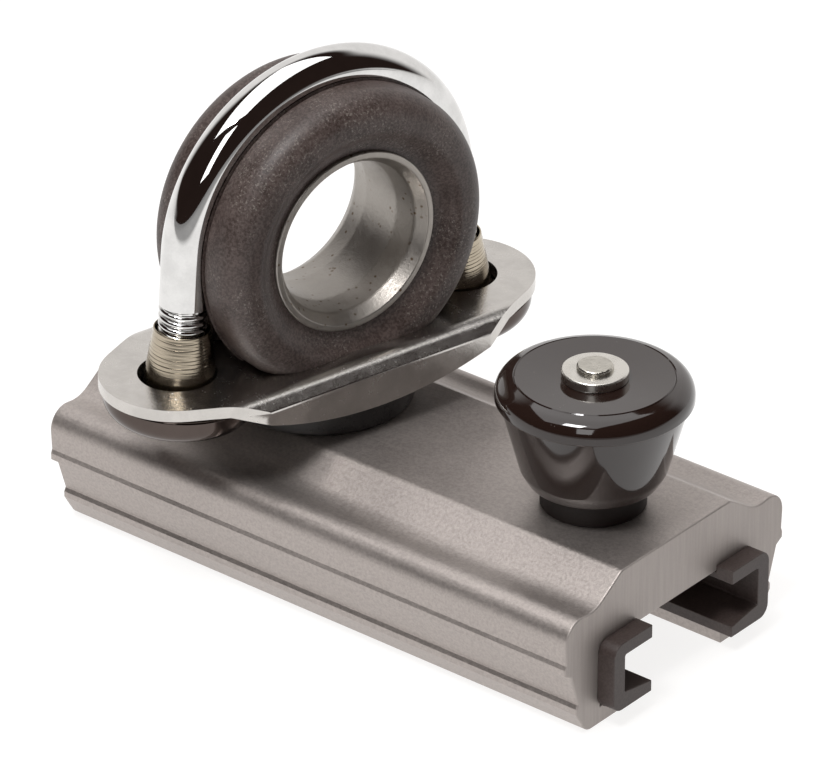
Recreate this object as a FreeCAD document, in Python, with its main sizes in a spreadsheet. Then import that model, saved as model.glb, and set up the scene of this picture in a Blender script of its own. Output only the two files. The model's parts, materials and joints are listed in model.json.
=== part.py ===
import FreeCAD, Part
import math
import os
import re
import Sketcher
from FreeCAD import Placement, Rotation, Vector

# Bullseye track slide. X runs along the track, +X towards the plunger, and Z points up.
# The origin is the middle of the underside of the two lips, where the slide rests.

SIZES = {
    # Track that the slide runs on, and the play round it.
    "track_width": 25.0,
    "track_thickness": 4.4,
    "track_play": 0.3,
    # Extruded body.
    "body_length": 80.0,
    "body_width": 42.0,
    "body_height": 19.0,
    "plateau_width": 20.8,
    "plateau_round": 1.2,
    "valley_half": 15.4,
    "valley_height": 15.7,
    "valley_round": 4.5,
    "shoulder_height": 16.1,
    "shoulder_round": 2.7,
    "upper_ridge_height": 9.7,
    "lower_ridge_height": 3.4,
    "ridge_width": 1.0,
    "ridge_depth": 0.3,
    "waist_inset": 1.2,
    "lower_ridge_inset": 2.4,
    "foot_inset": 4.2,
    "foot_round": 1.6,
    "lip_thickness": 2.3,
    "lip_gap": 18.0,
    # Moulded track liners.
    "liner_wall": 1.4,
    "liner_floor": 2.3,
    "liner_roof": 0.9,
    "liner_tip_drop": 0.8,
    "liner_throat": 15.4,
    "liner_insert": 34.0,
    "liner_flange": 2.5,
    "liner_flange_rise": 0.85,
    "liner_flange_side": 0.7,
    "liner_round": 1.6,
    "slot_round": 0.4,
    "push_fit": 0.03,
    # Swivel.
    "pivot_x": -14.6,
    "swivel_angle": 14.0,
    "pivot_diameter": 6.0,
    "running_fit": 0.05,
    "pivot_head_diameter": 9.0,
    "pivot_head_height": 1.0,
    "pivot_sink": 2.0,
    "pivot_washer_diameter": 10.4,
    "pivot_washer_thickness": 0.5,
    "disc_diameter": 23.0,
    "disc_height": 7.9,
    "disc_rim_height": 3.2,
    "disc_slope": 0.64,
    "disc_neck_diameter": 16.0,
    # Pressed saddle plate.
    "plate_thickness": 1.5,
    "plate_length": 60.6,
    "plate_width": 25.6,
    "plate_flat_width": 22.0,
    "tongue_round": 9.5,
    "tongue_taper": 26.0,
    "facet_drop": 1.3,
    "apron_curve": 52.0,
    "apron_rise": 19.5,
    "apron_drop": 4.35,
    "nut_hole_diameter": 9.6,
    "nut_hole_shift": 0.4,
    # U-bolt and its sleeve nuts.
    "rod_diameter": 6.0,
    "bow_radius": 19.35,
    "leg_splay": 4.1,
    "sleeve_height": 5.9,
    "sleeve_top_diameter": 6.95,
    "sleeve_root_diameter": 8.55,
    "sleeve_round": 0.24,
    "nut_head_diameter": 18.4,
    "nut_head_height": 3.6,
    "nut_head_round": 2.6,
    "nut_socket": 7.0,
    "nut_socket_depth": 1.6,
    # Bullseye ring and its steel ferrule.
    "ring_centre_rise": 14.1,
    "ring_diameter": 38.0,
    "ring_width": 17.6,
    "ring_seat_width": 14.0,
    "ring_lip_round": 0.4,
    "ring_edge_round": 3.2,
    "ring_face_round": 2.4,
    "groove_play": 0.1,
    "ring_foot_width": 23.0,
    "ring_foot_rise": 7.0,
    "ferrule_bore": 18.5,
    "ferrule_wall": 1.65,
    "ferrule_rim_diameter": 23.2,
    "ferrule_flare": 1.5,
    "ferrule_land": 6.0,
    "ferrule_throat_round": 6.2,
    "ferrule_flare_round": 3.1,
    "ferrule_rim_thickness": 0.5,
    # Sprung plunger.
    "plunger_x": 27.5,
    "lock_diameter": 6.0,
    "lock_reach": 5.2,
    "lock_round": 0.75,
    "stem_diameter": 3.8,
    "collar_diameter": 12.7,
    "collar_height": 2.9,
    "spigot_diameter": 10.0,
    "spigot_depth": 6.0,
    "chamber_diameter": 7.4,
    "chamber_top": 12.6,
    "tower_diameter": 9.6,
    "tower_height": 14.0,
    "shoulder_thickness": 2.0,
    "knob_base_rise": 3.2,
    "knob_base_diameter": 15.6,
    "knob_waist_diameter": 17.6,
    "knob_waist_rise": 4.9,
    "knob_neck_diameter": 22.4,
    "knob_rim_height": 3.15,
    "knob_lip": 0.2,
    "knob_lip_round": 0.3,
    "knob_edge_round": 0.8,
    "knob_crown_round": 2.2,
    "knob_crown_drop": 0.7,
    "knob_crest_diameter": 19.0,
    "knob_dish": 0.25,
    "knob_diameter": 23.6,
    "knob_rise": 16.95,
    "knob_bore_play": 0.4,
    "knob_washer_diameter": 8.0,
    "knob_washer_thickness": 1.2,
    "pin_head_diameter": 4.4,
    "pin_head_height": 0.6,
    "spring_wire": 0.8,
    "spring_turns": 3.0,
    "clear_gap": 0.3,
}

# Heights and half widths that follow from the sizes above, as expressions.
FLOOR = "(lip_thickness + liner_floor)"
CAVITY_HALF = "(track_width / 2 + track_play)"
CAVITY_HEIGHT = "(track_thickness + 2 * track_play)"
ROOF = f"({FLOOR} + {CAVITY_HEIGHT})"
WEB = f"({ROOF} + liner_roof)"
SLOT_HALF = f"({CAVITY_HALF} + liner_wall + push_fit)"
PLATE_UNDER = "(body_height + disc_height)"
PLATE_TOP = f"({PLATE_UNDER} + plate_thickness)"
RING_CENTRE = f"({PLATE_TOP} + ring_centre_rise)"
FERRULE_OUT = "(ferrule_bore / 2 + ferrule_wall)"
LEG_AT_SEAT = "(bow_radius / cos(leg_splay) + (ring_centre_rise + plate_thickness) * tan(leg_splay))"
LEG_AT_PLATE = "(bow_radius / cos(leg_splay) + (ring_centre_rise + plate_thickness / 2) * tan(leg_splay))"

NAME = re.compile(r"[a-z][a-z_]+")


def make_sheet(doc):
    """Put the driving dimensions into a spreadsheet, one alias each."""
    sheet = doc.addObject("Spreadsheet::Sheet", "Sizes")
    for row, (name, value) in enumerate(SIZES.items(), start=1):
        sheet.set(f"A{row}", name)
        sheet.set(f"B{row}", str(value))
        sheet.setAlias(f"B{row}", name)
    doc.recompute()
    return sheet


class Shop:
    """The document, its sheet and the steps that every piece is made with."""

    def __init__(self):
        self.doc = FreeCAD.newDocument("BullseyeTrackSlide")
        self.sheet = make_sheet(self.doc)
        self.parts = []

    def bound(self, expression):
        """Write an expression so that its names are looked up in the sheet."""
        def full(match):
            word = match.group(0)
            return "Sizes." + word if word in SIZES else word
        return NAME.sub(full, expression)

    def value(self, expression):
        """The number that an expression stands for now."""
        return float(self.sheet.evalExpression(self.bound(expression)))

    def bind(self, thing, prop, expression):
        thing.setExpression(prop, self.bound(expression))

    def body(self, name, place=None):
        body = self.doc.addObject("PartDesign::Body", name)
        body.Label = name
        if place is not None:
            body.Placement = place
        self.parts.append(body)
        return body

    def plane(self, body, role):
        return next(item for item in body.Origin.OriginFeatures if item.Role == role)

    def sketch(self, body, name, role, lift="0"):
        sketch = body.newObject("Sketcher::SketchObject", name)
        sketch.AttachmentSupport = [(self.plane(body, role), "")]
        sketch.MapMode = "FlatFace"
        self.bind(sketch, "AttachmentOffset.Base.z", lift)
        return sketch

    def pin_point(self, sketch, geo, pos, x, y):
        """Hold one point of a sketch at two bound distances from its origin."""
        for kind, expression in (("DistanceX", x), ("DistanceY", y)):
            number = self.value(expression)
            index = sketch.addConstraint(Sketcher.Constraint(kind, -1, 1, geo, pos, number))
            self.bind(sketch, f"Constraints[{index}]", expression)

    def circle(self, sketch, x, y, radius):
        centre = Vector(self.value(x), self.value(y), 0)
        shape = Part.Circle(centre, Vector(0, 0, 1), self.value(radius))
        geo = sketch.addGeometry(shape, False)
        index = sketch.addConstraint(Sketcher.Constraint("Radius", geo, self.value(radius)))
        self.bind(sketch, f"Constraints[{index}]", radius)
        self.pin_point(sketch, geo, 3, x, y)

    def outline(self, sketch, corners):
        """A closed outline of straight lines through corners, some of them rounded.

        Each corner is (x, y) or (x, y, radius), all of them expressions.
        """
        points = [Vector(self.value(c[0]), self.value(c[1]), 0) for c in corners]
        rounds = [self.value(c[2]) if len(c) > 2 else 0.0 for c in corners]
        count = len(corners)
        ends = []
        for i, here in enumerate(points):
            before = (points[i - 1] - here).normalize()
            after = (points[(i + 1) % count] - here).normalize()
            if rounds[i] == 0.0:
                ends.append((here, here, None))
                continue
            half = before.getAngle(after) / 2
            reach = rounds[i] / math.tan(half)
            middle = (before + after).normalize()
            centre = here + middle * (rounds[i] / math.sin(half))
            ends.append((here + before * reach, here + after * reach, centre - middle * rounds[i]))
        lines = []
        for i in range(count):
            start = ends[i][1]
            end = ends[(i + 1) % count][0]
            lines.append(sketch.addGeometry(Part.LineSegment(start, end), False))
        for i, corner in enumerate(corners):
            before, after = lines[i - 1], lines[i]
            if rounds[i] == 0.0:
                sketch.addConstraint(Sketcher.Constraint("Coincident", before, 2, after, 1))
                self.pin_point(sketch, after, 1, corner[0], corner[1])
                continue
            arc = Part.Arc(ends[i][0], ends[i][2], ends[i][1])
            geo = sketch.addGeometry(arc, False)
            first, last = self.arc_ends(sketch, geo, ends[i][0])
            sketch.addConstraint(Sketcher.Constraint("Tangent", before, 2, geo, first))
            sketch.addConstraint(Sketcher.Constraint("Tangent", geo, last, after, 1))
            index = sketch.addConstraint(Sketcher.Constraint("Radius", geo, rounds[i]))
            self.bind(sketch, f"Constraints[{index}]", corner[2])
            point = sketch.addGeometry(Part.Point(points[i]), True)
            self.pin_point(sketch, point, 1, corner[0], corner[1])
            sketch.addConstraint(Sketcher.Constraint("PointOnObject", point, 1, before))
            sketch.addConstraint(Sketcher.Constraint("PointOnObject", point, 1, after))

    def arc_ends(self, sketch, geo, start):
        """The numbers of an arc's two ends, the one at start first."""
        if sketch.getPoint(geo, 1).distanceToPoint(start) < 1e-6:
            return 1, 2
        return 2, 1

    def pad(self, body, sketch, length, both=False, reverse=False):
        pad = body.newObject("PartDesign::Pad", sketch.Name + "Pad")
        pad.Profile = sketch
        pad.Midplane = both
        pad.Reversed = reverse
        self.bind(pad, "Length", length)
        self.doc.recompute()
        return pad

    def pocket(self, body, sketch, length, both=False, reverse=False):
        """Cut a sketch out of a body and make sure that it took something away."""
        before = body.Shape.Volume
        pocket = body.newObject("PartDesign::Pocket", sketch.Name + "Cut")
        pocket.Profile = sketch
        pocket.Midplane = both
        pocket.Reversed = reverse
        self.bind(pocket, "Length", length)
        self.doc.recompute()
        if body.Shape.Volume > before - 1e-6:
            raise RuntimeError(sketch.Name + " cuts nothing")
        return pocket

    def spin(self, body, sketch, axis="V_Axis", cut=False):
        kind = "PartDesign::Groove" if cut else "PartDesign::Revolution"
        turned = body.newObject(kind, sketch.Name + "Turn")
        turned.Profile = sketch
        turned.ReferenceAxis = (sketch, [axis])
        turned.Angle = 360
        self.doc.recompute()
        return turned

    def soften(self, body, kind, edges, size):
        """Fillet or chamfer the edges of a body's last feature that a test picks."""
        base = body.Tip
        names = [f"Edge{i}" for i, edge in enumerate(base.Shape.Edges, start=1) if edges(edge)]
        if not names:
            raise RuntimeError(body.Label + " has no such edge")
        feature = body.newObject("PartDesign::" + kind, base.Name + kind)
        feature.Base = (base, names)
        self.bind(feature, "Radius" if kind == "Fillet" else "Size", size)
        self.doc.recompute()
        return feature

    def finish(self):
        """Check every piece and write its file."""
        self.doc.recompute()
        for item in self.doc.Objects:
            if "Invalid" in item.State or "Error" in item.State:
                raise RuntimeError(item.Label + " failed to build")
        os.makedirs("parts", exist_ok=True)
        for part in self.parts:
            shape = part.Shape
            if shape.isNull() or not shape.isValid() or shape.Volume <= 0:
                raise RuntimeError(part.Label + " has no sound shape")
            shape.exportStep(f"parts/{part.Label}.step")
            print(part.Label, len(shape.Solids), "solid", round(shape.Volume, 2), "mm3")


def mirrored(corners):
    """Corners on the +side followed by their mirror images, in order round the outline."""
    other = [(f"-({c[0]})",) + tuple(c[1:]) for c in reversed(corners)]
    return corners + other


def all_round(corners, lift="0"):
    """Corners of the first quarter, mirrored to all four round a point on the second axis."""
    upper = [(c[0], f"{lift} + {c[1]}") + tuple(c[2:]) for c in corners]
    lower = [(c[0], f"{lift} - ({c[1]})") + tuple(c[2:]) for c in corners]
    return mirrored(upper) + mirrored(lower)[::-1]


def slide_body(shop):
    """The extrusion: plateau, ogee shoulders, two fine ridges a side and inward lips."""
    half = "body_width / 2"
    body = shop.body("slide_body")
    profile = shop.sketch(body, "BodyProfile", "YZ_Plane", "-body_length / 2")
    upper, lower = "upper_ridge_height", "lower_ridge_height"
    waist = f"({half} - waist_inset)"
    foot = f"({half} - lower_ridge_inset)"
    corners = [
        ("plateau_width / 2", "body_height", "plateau_round"),
        ("valley_half", "valley_height", "valley_round"),
        (half, "shoulder_height + ridge_depth", "shoulder_round"),
        (f"{half} - ridge_depth", f"{upper} + ridge_width"),
        (f"{half} - ridge_depth / 4", f"{upper} + ridge_width / 2"),
        (f"{half} - ridge_depth / 4", f"{upper} - ridge_width / 3"),
        (waist, f"{upper} - ridge_width"),
        (f"{foot} - ridge_depth / 2", f"{lower} + ridge_width"),
        (f"{foot} + ridge_depth / 2", f"{lower} + ridge_width / 2"),
        (f"{foot} + ridge_depth / 2", f"{lower} - ridge_width / 4"),
        (f"{foot} - ridge_depth", f"{lower} - ridge_width"),
        (f"{half} - foot_inset", "0", "foot_round"),
        ("lip_gap / 2", "0"),
        ("lip_gap / 2", "lip_thickness"),
        (SLOT_HALF, "lip_thickness"),
        (SLOT_HALF, WEB),
    ]
    shop.outline(profile, mirrored(corners))
    shop.pad(body, profile, "body_length")

    pivot = shop.sketch(body, "PivotHole", "XY_Plane", "body_height")
    shop.circle(pivot, "pivot_x", "0", "pivot_diameter / 2 + push_fit")
    shop.pocket(body, pivot, f"body_height - {WEB} + clear_gap")
    web = shop.value(WEB)
    near = Vector(shop.value("pivot_x"), 0, web)
    shop.soften(body, "Chamfer", lambda edge: is_ring(edge, near), "pivot_sink")

    spigot = shop.sketch(body, "SpigotHole", "XY_Plane", "body_height")
    shop.circle(spigot, "plunger_x", "0", "spigot_diameter / 2 + push_fit")
    shop.pocket(body, spigot, "spigot_depth")
    guide = shop.sketch(body, "GuideHole", "XY_Plane", "body_height")
    shop.circle(guide, "plunger_x", "0", "lock_diameter / 2 + running_fit")
    shop.pocket(body, guide, f"body_height - {WEB} + clear_gap")


def is_ring(edge, centre):
    """True for a full circle round a centre."""
    curve = edge.Curve
    return isinstance(curve, Part.Circle) and curve.Center.distanceToPoint(centre) < 1e-3


def liner_section(inset, rise, side, corner):
    """The C of a track liner on the +Y side, with its back and roof let out by some amount."""
    back = f"({CAVITY_HALF} + liner_wall + {side})"
    return [
        ("liner_throat / 2", f"lip_thickness + {inset}"),
        (back, f"lip_thickness + {inset}", corner),
        (back, f"{WEB} - push_fit + {rise}", corner),
        ("liner_throat / 2", f"{WEB} - push_fit + {rise}"),
        ("liner_throat / 2", ROOF),
        (CAVITY_HALF, ROOF),
        (CAVITY_HALF, FLOOR),
        ("liner_throat / 2", f"{FLOOR} - liner_tip_drop"),
    ]


def track_liner(shop, name, end, side):
    """One moulded liner, pushed into the slot from an end until its flange meets the body."""
    body = shop.body(name)
    face = "body_length / 2"

    def put(corners):
        return corners if side > 0 else mirrored(corners)[len(corners):]

    insert = shop.sketch(body, name + "Insert", "YZ_Plane", f"{end} * ({face} - liner_insert)")
    shop.outline(insert, put(liner_section("push_fit", "0", "0", "slot_round")))
    shop.pad(body, insert, "liner_insert", reverse=end < 0)
    flange = shop.sketch(body, name + "Flange", "YZ_Plane", f"{end} * {face}")
    let_out = liner_section("push_fit", "liner_flange_rise", "liner_flange_side", "liner_round")
    shop.outline(flange, put(let_out))
    shop.pad(body, flange, "liner_flange", reverse=end < 0)


def swivel_place(shop, lift="0"):
    """Where the swivel's own axes stand: on the pivot, turned as the plate is."""
    base = Vector(shop.value("pivot_x"), 0, shop.value(lift))
    return Placement(base, Rotation(Vector(0, 0, 1), -shop.value("swivel_angle")))


def turned_piece(shop, name, place, corners, axis="V_Axis"):
    """A piece of revolution: an outline of radius and height (or length and radius), spun."""
    body = shop.body(name, place)
    profile = shop.sketch(body, name + "Profile", "XZ_Plane")
    shop.outline(profile, corners)
    shop.spin(body, profile, axis)
    return body


def pivot(shop):
    """The rivet that the swivel turns on, and the washer under its formed head."""
    place = Placement(Vector(shop.value("pivot_x"), 0, 0), Rotation())
    radius = "pivot_diameter / 2"
    seat = f"({PLATE_TOP} + pivot_washer_thickness)"
    turned_piece(shop, "pivot_rivet", place, [
        ("0", WEB),
        (f"{radius} + pivot_sink", WEB),
        (radius, f"{WEB} + pivot_sink"),
        (radius, seat),
        ("pivot_head_diameter / 2", seat),
        ("pivot_head_diameter / 2", f"{seat} + pivot_head_height", "pivot_head_height / 2"),
        ("0", f"{seat} + pivot_head_height"),
    ])
    turned_piece(shop, "pivot_washer", place, [
        (f"{radius} + running_fit", PLATE_TOP),
        ("pivot_washer_diameter / 2", PLATE_TOP),
        ("pivot_washer_diameter / 2", seat),
        (f"{radius} + running_fit", seat),
    ])


def swivel_disc(shop):
    """The moulded disc that carries the plate: a wide foot and a neck that clears the nuts."""
    bore = "pivot_diameter / 2 + running_fit"
    turned_piece(shop, "swivel_disc", swivel_place(shop), [
        (bore, "body_height"),
        ("disc_diameter / 2", "body_height"),
        ("disc_diameter / 2", "body_height + disc_rim_height", "disc_rim_height / 4"),
        ("disc_neck_diameter / 2", "body_height + disc_rim_height + disc_slope", "disc_rim_height / 4"),
        ("disc_neck_diameter / 2", PLATE_UNDER),
        (bore, PLATE_UNDER),
    ])


def saddle_plate(shop):
    """The pressed plate: tapered tongues, and long sides folded down over a sloping facet."""
    body = shop.body("saddle_plate", swivel_place(shop))
    edge = "plate_width / 2"
    flat = "plate_flat_width / 2"
    crease = f"({PLATE_TOP} - facet_drop)"
    hem = f"({crease} - apron_drop)"
    section = shop.sketch(body, "FoldedSection", "XZ_Plane")
    shop.outline(section, mirrored([
        (flat, PLATE_TOP, "2 * plate_thickness"),
        (edge, crease, "plate_thickness / 4"),
        (edge, hem),
        (f"{edge} - plate_thickness", hem),
        (f"{edge} - plate_thickness", f"{PLATE_UNDER} - facet_drop", "plate_thickness / 8"),
        (flat, PLATE_UNDER, "plate_thickness"),
    ]))
    shop.pad(body, section, "plate_length", both=True)

    apex = "(plate_length / 2 + tongue_round * (1 / sin(tongue_taper) - 1))"
    beyond = f"({edge} + clear_gap)"
    shoulder = f"({apex} - {beyond} / tan(tongue_taper))"
    plan = shop.sketch(body, "PlateOutline", "XY_Plane", "body_height")
    shop.outline(plan, [
        ("0", apex, "tongue_round"),
        (beyond, shoulder),
        (beyond, f"-{shoulder}"),
        ("0", f"-{apex}", "tongue_round"),
        (f"-{beyond}", f"-{shoulder}"),
        (f"-{beyond}", shoulder),
    ])
    shop.outline(plan, all_round([("plate_width", "plate_length")]))
    shop.pocket(body, plan, "disc_height + 2 * plate_thickness", reverse=True)

    dip = f"({hem} - apron_curve * (1 / cos(apron_rise) - 1))"
    trim = shop.sketch(body, "ApronTrim", "YZ_Plane")
    shop.outline(trim, [("0", dip, "apron_curve")] + mirrored([
        (f"({PLATE_UNDER} - {dip}) / tan(apron_rise)", PLATE_UNDER),
        ("plate_length", PLATE_UNDER),
        ("plate_length", f"{dip} - apron_drop"),
    ])[::-1])
    shop.pocket(body, trim, "2 * plate_width", both=True)

    holes = shop.sketch(body, "PlateHoles", "XY_Plane", PLATE_TOP)
    shop.circle(holes, "0", "0", "pivot_diameter / 2 + running_fit")
    for side in ("", "-"):
        shop.circle(holes, "0", f"{side}({LEG_AT_PLATE} + nut_hole_shift)", "nut_hole_diameter / 2")
    shop.pocket(body, holes, "2 * plate_thickness")


def u_bolt(shop):
    """The bent rod: a bow of a little under half a turn, and legs that splay outwards."""
    drop = "bow_radius * sin(leg_splay) + ring_centre_rise + plate_thickness"
    reach = f"({drop} + nut_head_height - nut_socket_depth - clear_gap) / cos(leg_splay)"
    splay = math.radians(shop.value("leg_splay"))
    centre = shop.value(RING_CENTRE)
    radius = shop.value("bow_radius")
    bow = shop.doc.addObject("Part::Torus", "Bow")
    shop.bind(bow, "Radius1", "bow_radius")
    shop.bind(bow, "Radius2", "rod_diameter / 2")
    shop.bind(bow, "Angle3", "180 - 2 * leg_splay")
    start = Vector(0, math.cos(splay), math.sin(splay))
    bow.Placement = Placement(Vector(0, 0, centre), Rotation(start, Vector(), Vector(1, 0, 0), "ZXY"))
    pieces = [bow]
    for side in (1, -1):
        leg = shop.doc.addObject("Part::Cylinder", "Leg")
        shop.bind(leg, "Radius", "rod_diameter / 2")
        shop.bind(leg, "Height", reach)
        foot = Vector(0, side * radius * math.cos(splay), centre + radius * math.sin(splay))
        down = Vector(0, side * math.sin(splay), -math.cos(splay))
        leg.Placement = Placement(foot, Rotation(Vector(0, 0, 1), down))
        pieces.append(leg)
    bolt = shop.doc.addObject("Part::MultiFuse", "u_bolt")
    bolt.Label = "u_bolt"
    bolt.Shapes = pieces
    bolt.Refine = True
    shop.doc.recompute()
    bolt.Placement = swivel_place(shop)
    shop.parts.append(bolt)


def sleeve_nut(shop, name, side):
    """A domed nut under the plate whose tapered sleeve comes up round a leg of the bolt."""
    seat = "-(nut_head_diameter / 2 * tan(leg_splay) + push_fit)"
    lean = Rotation(Vector(1, 0, 0), side * shop.value("leg_splay"))
    spot = Vector(0, side * shop.value(LEG_AT_SEAT), shop.value(PLATE_UNDER))
    place = swivel_place(shop) * Placement(spot, lean)
    bore = "rod_diameter / 2 + push_fit"
    top = "(plate_thickness + sleeve_height)"
    head = "nut_head_diameter / 2"
    body = turned_piece(shop, name, place, [
        (bore, f"{seat} - nut_head_height"),
        (head, f"{seat} - nut_head_height", "nut_head_round"),
        (head, seat, "nut_head_round / 6"),
        ("sleeve_root_diameter / 2", seat),
        ("sleeve_root_diameter / 2", "plate_thickness"),
        ("sleeve_top_diameter / 2", top, "sleeve_round"),
        (bore, top),
    ])
    socket = shop.sketch(body, name + "Socket", "XY_Plane", f"{seat} - nut_head_height")
    corners = []
    for step in range(6):
        turn = f"{60 * step}"
        corners.append((f"nut_socket / sqrt(3) * cos({turn})", f"nut_socket / sqrt(3) * sin({turn})"))
    shop.outline(socket, corners)
    shop.pocket(body, socket, "nut_socket_depth", reverse=True)


def bullseye_ring(shop):
    """The moulded ring: full and round, dished to the ferrule, grooved for the rod and flat underneath."""
    groove = "(rod_diameter / 2 + groove_play)"
    face = "ring_width / 2"
    seat = "ring_seat_width / 2"
    rim = "ring_diameter / 2"
    bed = f"(bow_radius - {groove})"
    body = turned_piece(shop, "bullseye_ring", swivel_place(shop, RING_CENTRE), mirrored([
        (groove, bed, "rod_diameter / 2"),
        (groove, rim, "ring_lip_round"),
        (face, rim, "ring_edge_round"),
        (face, f"{rim} - ring_edge_round - ring_face_round / 2", "ring_face_round"),
        (seat, "ferrule_rim_diameter / 2 + clear_gap"),
        (seat, f"{FERRULE_OUT} + push_fit"),
    ]), "H_Axis")
    under = "-ring_centre_rise"
    flat = shop.sketch(body, "FlatFoot", "YZ_Plane")
    shop.outline(flat, mirrored([
        ("ring_foot_width / 2", under, "ring_face_round * 2"),
        ("ring_diameter", f"{under} + ring_foot_rise"),
        ("ring_diameter", f"{under} - ring_diameter / 2"),
    ]))
    shop.pocket(body, flat, "2 * ring_width", both=True)
    recess = shop.sketch(body, "RivetRecess", "XY_Plane", under)
    shop.circle(recess, "0", "0", "pivot_washer_diameter / 2 + clear_gap")
    shop.pocket(body, recess, "pivot_washer_thickness + pivot_head_height + clear_gap", reverse=True)


def bullseye_ferrule(shop):
    """The turned steel ferrule that lines the ring, flared and rimmed at both faces."""
    seat = "ring_seat_width / 2"
    mouth = f"({seat} + ferrule_rim_thickness)"
    turned_piece(shop, "bullseye_ferrule", swivel_place(shop, RING_CENTRE), mirrored([
        ("ferrule_land / 2", "ferrule_bore / 2", "ferrule_throat_round"),
        ("ferrule_land", "ferrule_bore / 2 + ferrule_flare / 3", "ferrule_flare_round"),
        (mouth, "ferrule_bore / 2 + ferrule_flare", "ferrule_rim_thickness / 3"),
        (mouth, "ferrule_rim_diameter / 2"),
        (seat, "ferrule_rim_diameter / 2"),
        (seat, FERRULE_OUT),
    ]), "H_Axis")


def plunger(shop):
    """The collar screwed into the body, and the sprung pin with its knob, washer and spring."""
    place = Placement(Vector(shop.value("plunger_x"), 0, 0), Rotation())
    seat = "(body_height - spigot_depth)"
    chamber = "chamber_diameter / 2"
    ceiling = "(body_height + chamber_top)"
    stem = "stem_diameter / 2"
    turned_piece(shop, "plunger_collar", place, [
        (chamber, seat),
        ("spigot_diameter / 2", seat),
        ("spigot_diameter / 2", "body_height"),
        ("collar_diameter / 2", "body_height"),
        ("collar_diameter / 2", "body_height + collar_height", "clear_gap"),
        ("tower_diameter / 2", "body_height + collar_height"),
        ("tower_diameter / 2", "body_height + tower_height"),
        (f"{stem} + running_fit", "body_height + tower_height"),
        (f"{stem} + running_fit", ceiling),
        (chamber, ceiling),
    ])
    knob_top = "(body_height + knob_rise - knob_dish)"
    washer_top = f"({knob_top} + knob_washer_thickness)"
    shoulder = f"({chamber} - running_fit * 2)"
    turned_piece(shop, "plunger_pin", place, [
        ("0", f"{WEB} - lock_reach"),
        ("lock_diameter / 2", f"{WEB} - lock_reach", "lock_round"),
        ("lock_diameter / 2", seat),
        (shoulder, seat),
        (shoulder, f"{seat} + shoulder_thickness"),
        (stem, f"{seat} + shoulder_thickness"),
        (stem, washer_top),
        ("pin_head_diameter / 2", washer_top),
        ("pin_head_diameter / 2", f"{washer_top} + pin_head_height", "pin_head_height / 2"),
        ("0", f"{washer_top} + pin_head_height"),
    ])
    bore = "(tower_diameter / 2 + knob_bore_play)"
    base = "(body_height + knob_base_rise)"
    widest = "knob_diameter / 2"
    crest = "(body_height + knob_rise)"
    neck = f"({crest} - knob_rim_height)"
    turned_piece(shop, "plunger_knob", place, [
        (bore, base),
        ("knob_base_diameter / 2", base, "knob_edge_round"),
        ("knob_waist_diameter / 2", "body_height + knob_waist_rise", "knob_edge_round * 2"),
        ("knob_neck_diameter / 2", neck),
        (widest, f"{neck} + knob_lip", "knob_lip_round"),
        (widest, f"{crest} - knob_crown_drop", "knob_crown_round"),
        ("knob_crest_diameter / 2", crest),
        ("knob_washer_diameter / 2 + clear_gap", knob_top),
        (f"{stem} + push_fit", knob_top),
        (f"{stem} + push_fit", "body_height + tower_height + clear_gap"),
        (bore, "body_height + tower_height + clear_gap"),
    ])
    turned_piece(shop, "knob_washer", place, [
        (f"{stem} + push_fit", knob_top),
        ("knob_washer_diameter / 2", knob_top, "knob_washer_thickness / 5"),
        ("knob_washer_diameter / 2", washer_top, "knob_washer_thickness / 5"),
        (f"{stem} + push_fit", washer_top),
    ])
    plunger_spring(shop, place, f"({seat} + shoulder_thickness)", ceiling)


def plunger_spring(shop, place, low, high):
    """The round-wire spring between the pin's shoulder and the collar's roof."""
    body = shop.body("plunger_spring", place)
    wire = shop.sketch(body, "SpringWire", "XZ_Plane")
    coil = "(chamber_diameter / 2 - spring_wire / 2 - running_fit * 2)"
    shop.circle(wire, coil, f"{low} + spring_wire / 2 + push_fit", "spring_wire / 2")
    rise = f"({high} - {low} - spring_wire - 2 * push_fit)"
    helix = body.newObject("PartDesign::AdditiveHelix", "SpringCoil")
    helix.Profile = wire
    helix.ReferenceAxis = (wire, ["V_Axis"])
    helix.Mode = 0
    shop.bind(helix, "Pitch", f"{rise} / spring_turns")
    shop.bind(helix, "Height", rise)
    shop.doc.recompute()


def main():
    shop = Shop()
    slide_body(shop)
    for end, end_name in ((1, "front"), (-1, "rear")):
        for side, side_name in ((1, "left"), (-1, "right")):
            track_liner(shop, f"track_liner_{end_name}_{side_name}", end, side)
    pivot(shop)
    swivel_disc(shop)
    saddle_plate(shop)
    u_bolt(shop)
    sleeve_nut(shop, "sleeve_nut_left", -1)
    sleeve_nut(shop, "sleeve_nut_right", 1)
    bullseye_ring(shop)
    bullseye_ferrule(shop)
    plunger(shop)
    shop.finish()


main()
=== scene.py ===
"""Looks of a bullseye track slide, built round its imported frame.

Sizes in the classes are millimetres. A finished mesh is in metres, in the frame's own axes.
"""

import json
import logging
import math
from collections.abc import Mapping, Sequence
from dataclasses import dataclass
from enum import Enum

import bmesh
import bpy
from mathutils import Matrix, Vector


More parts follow.
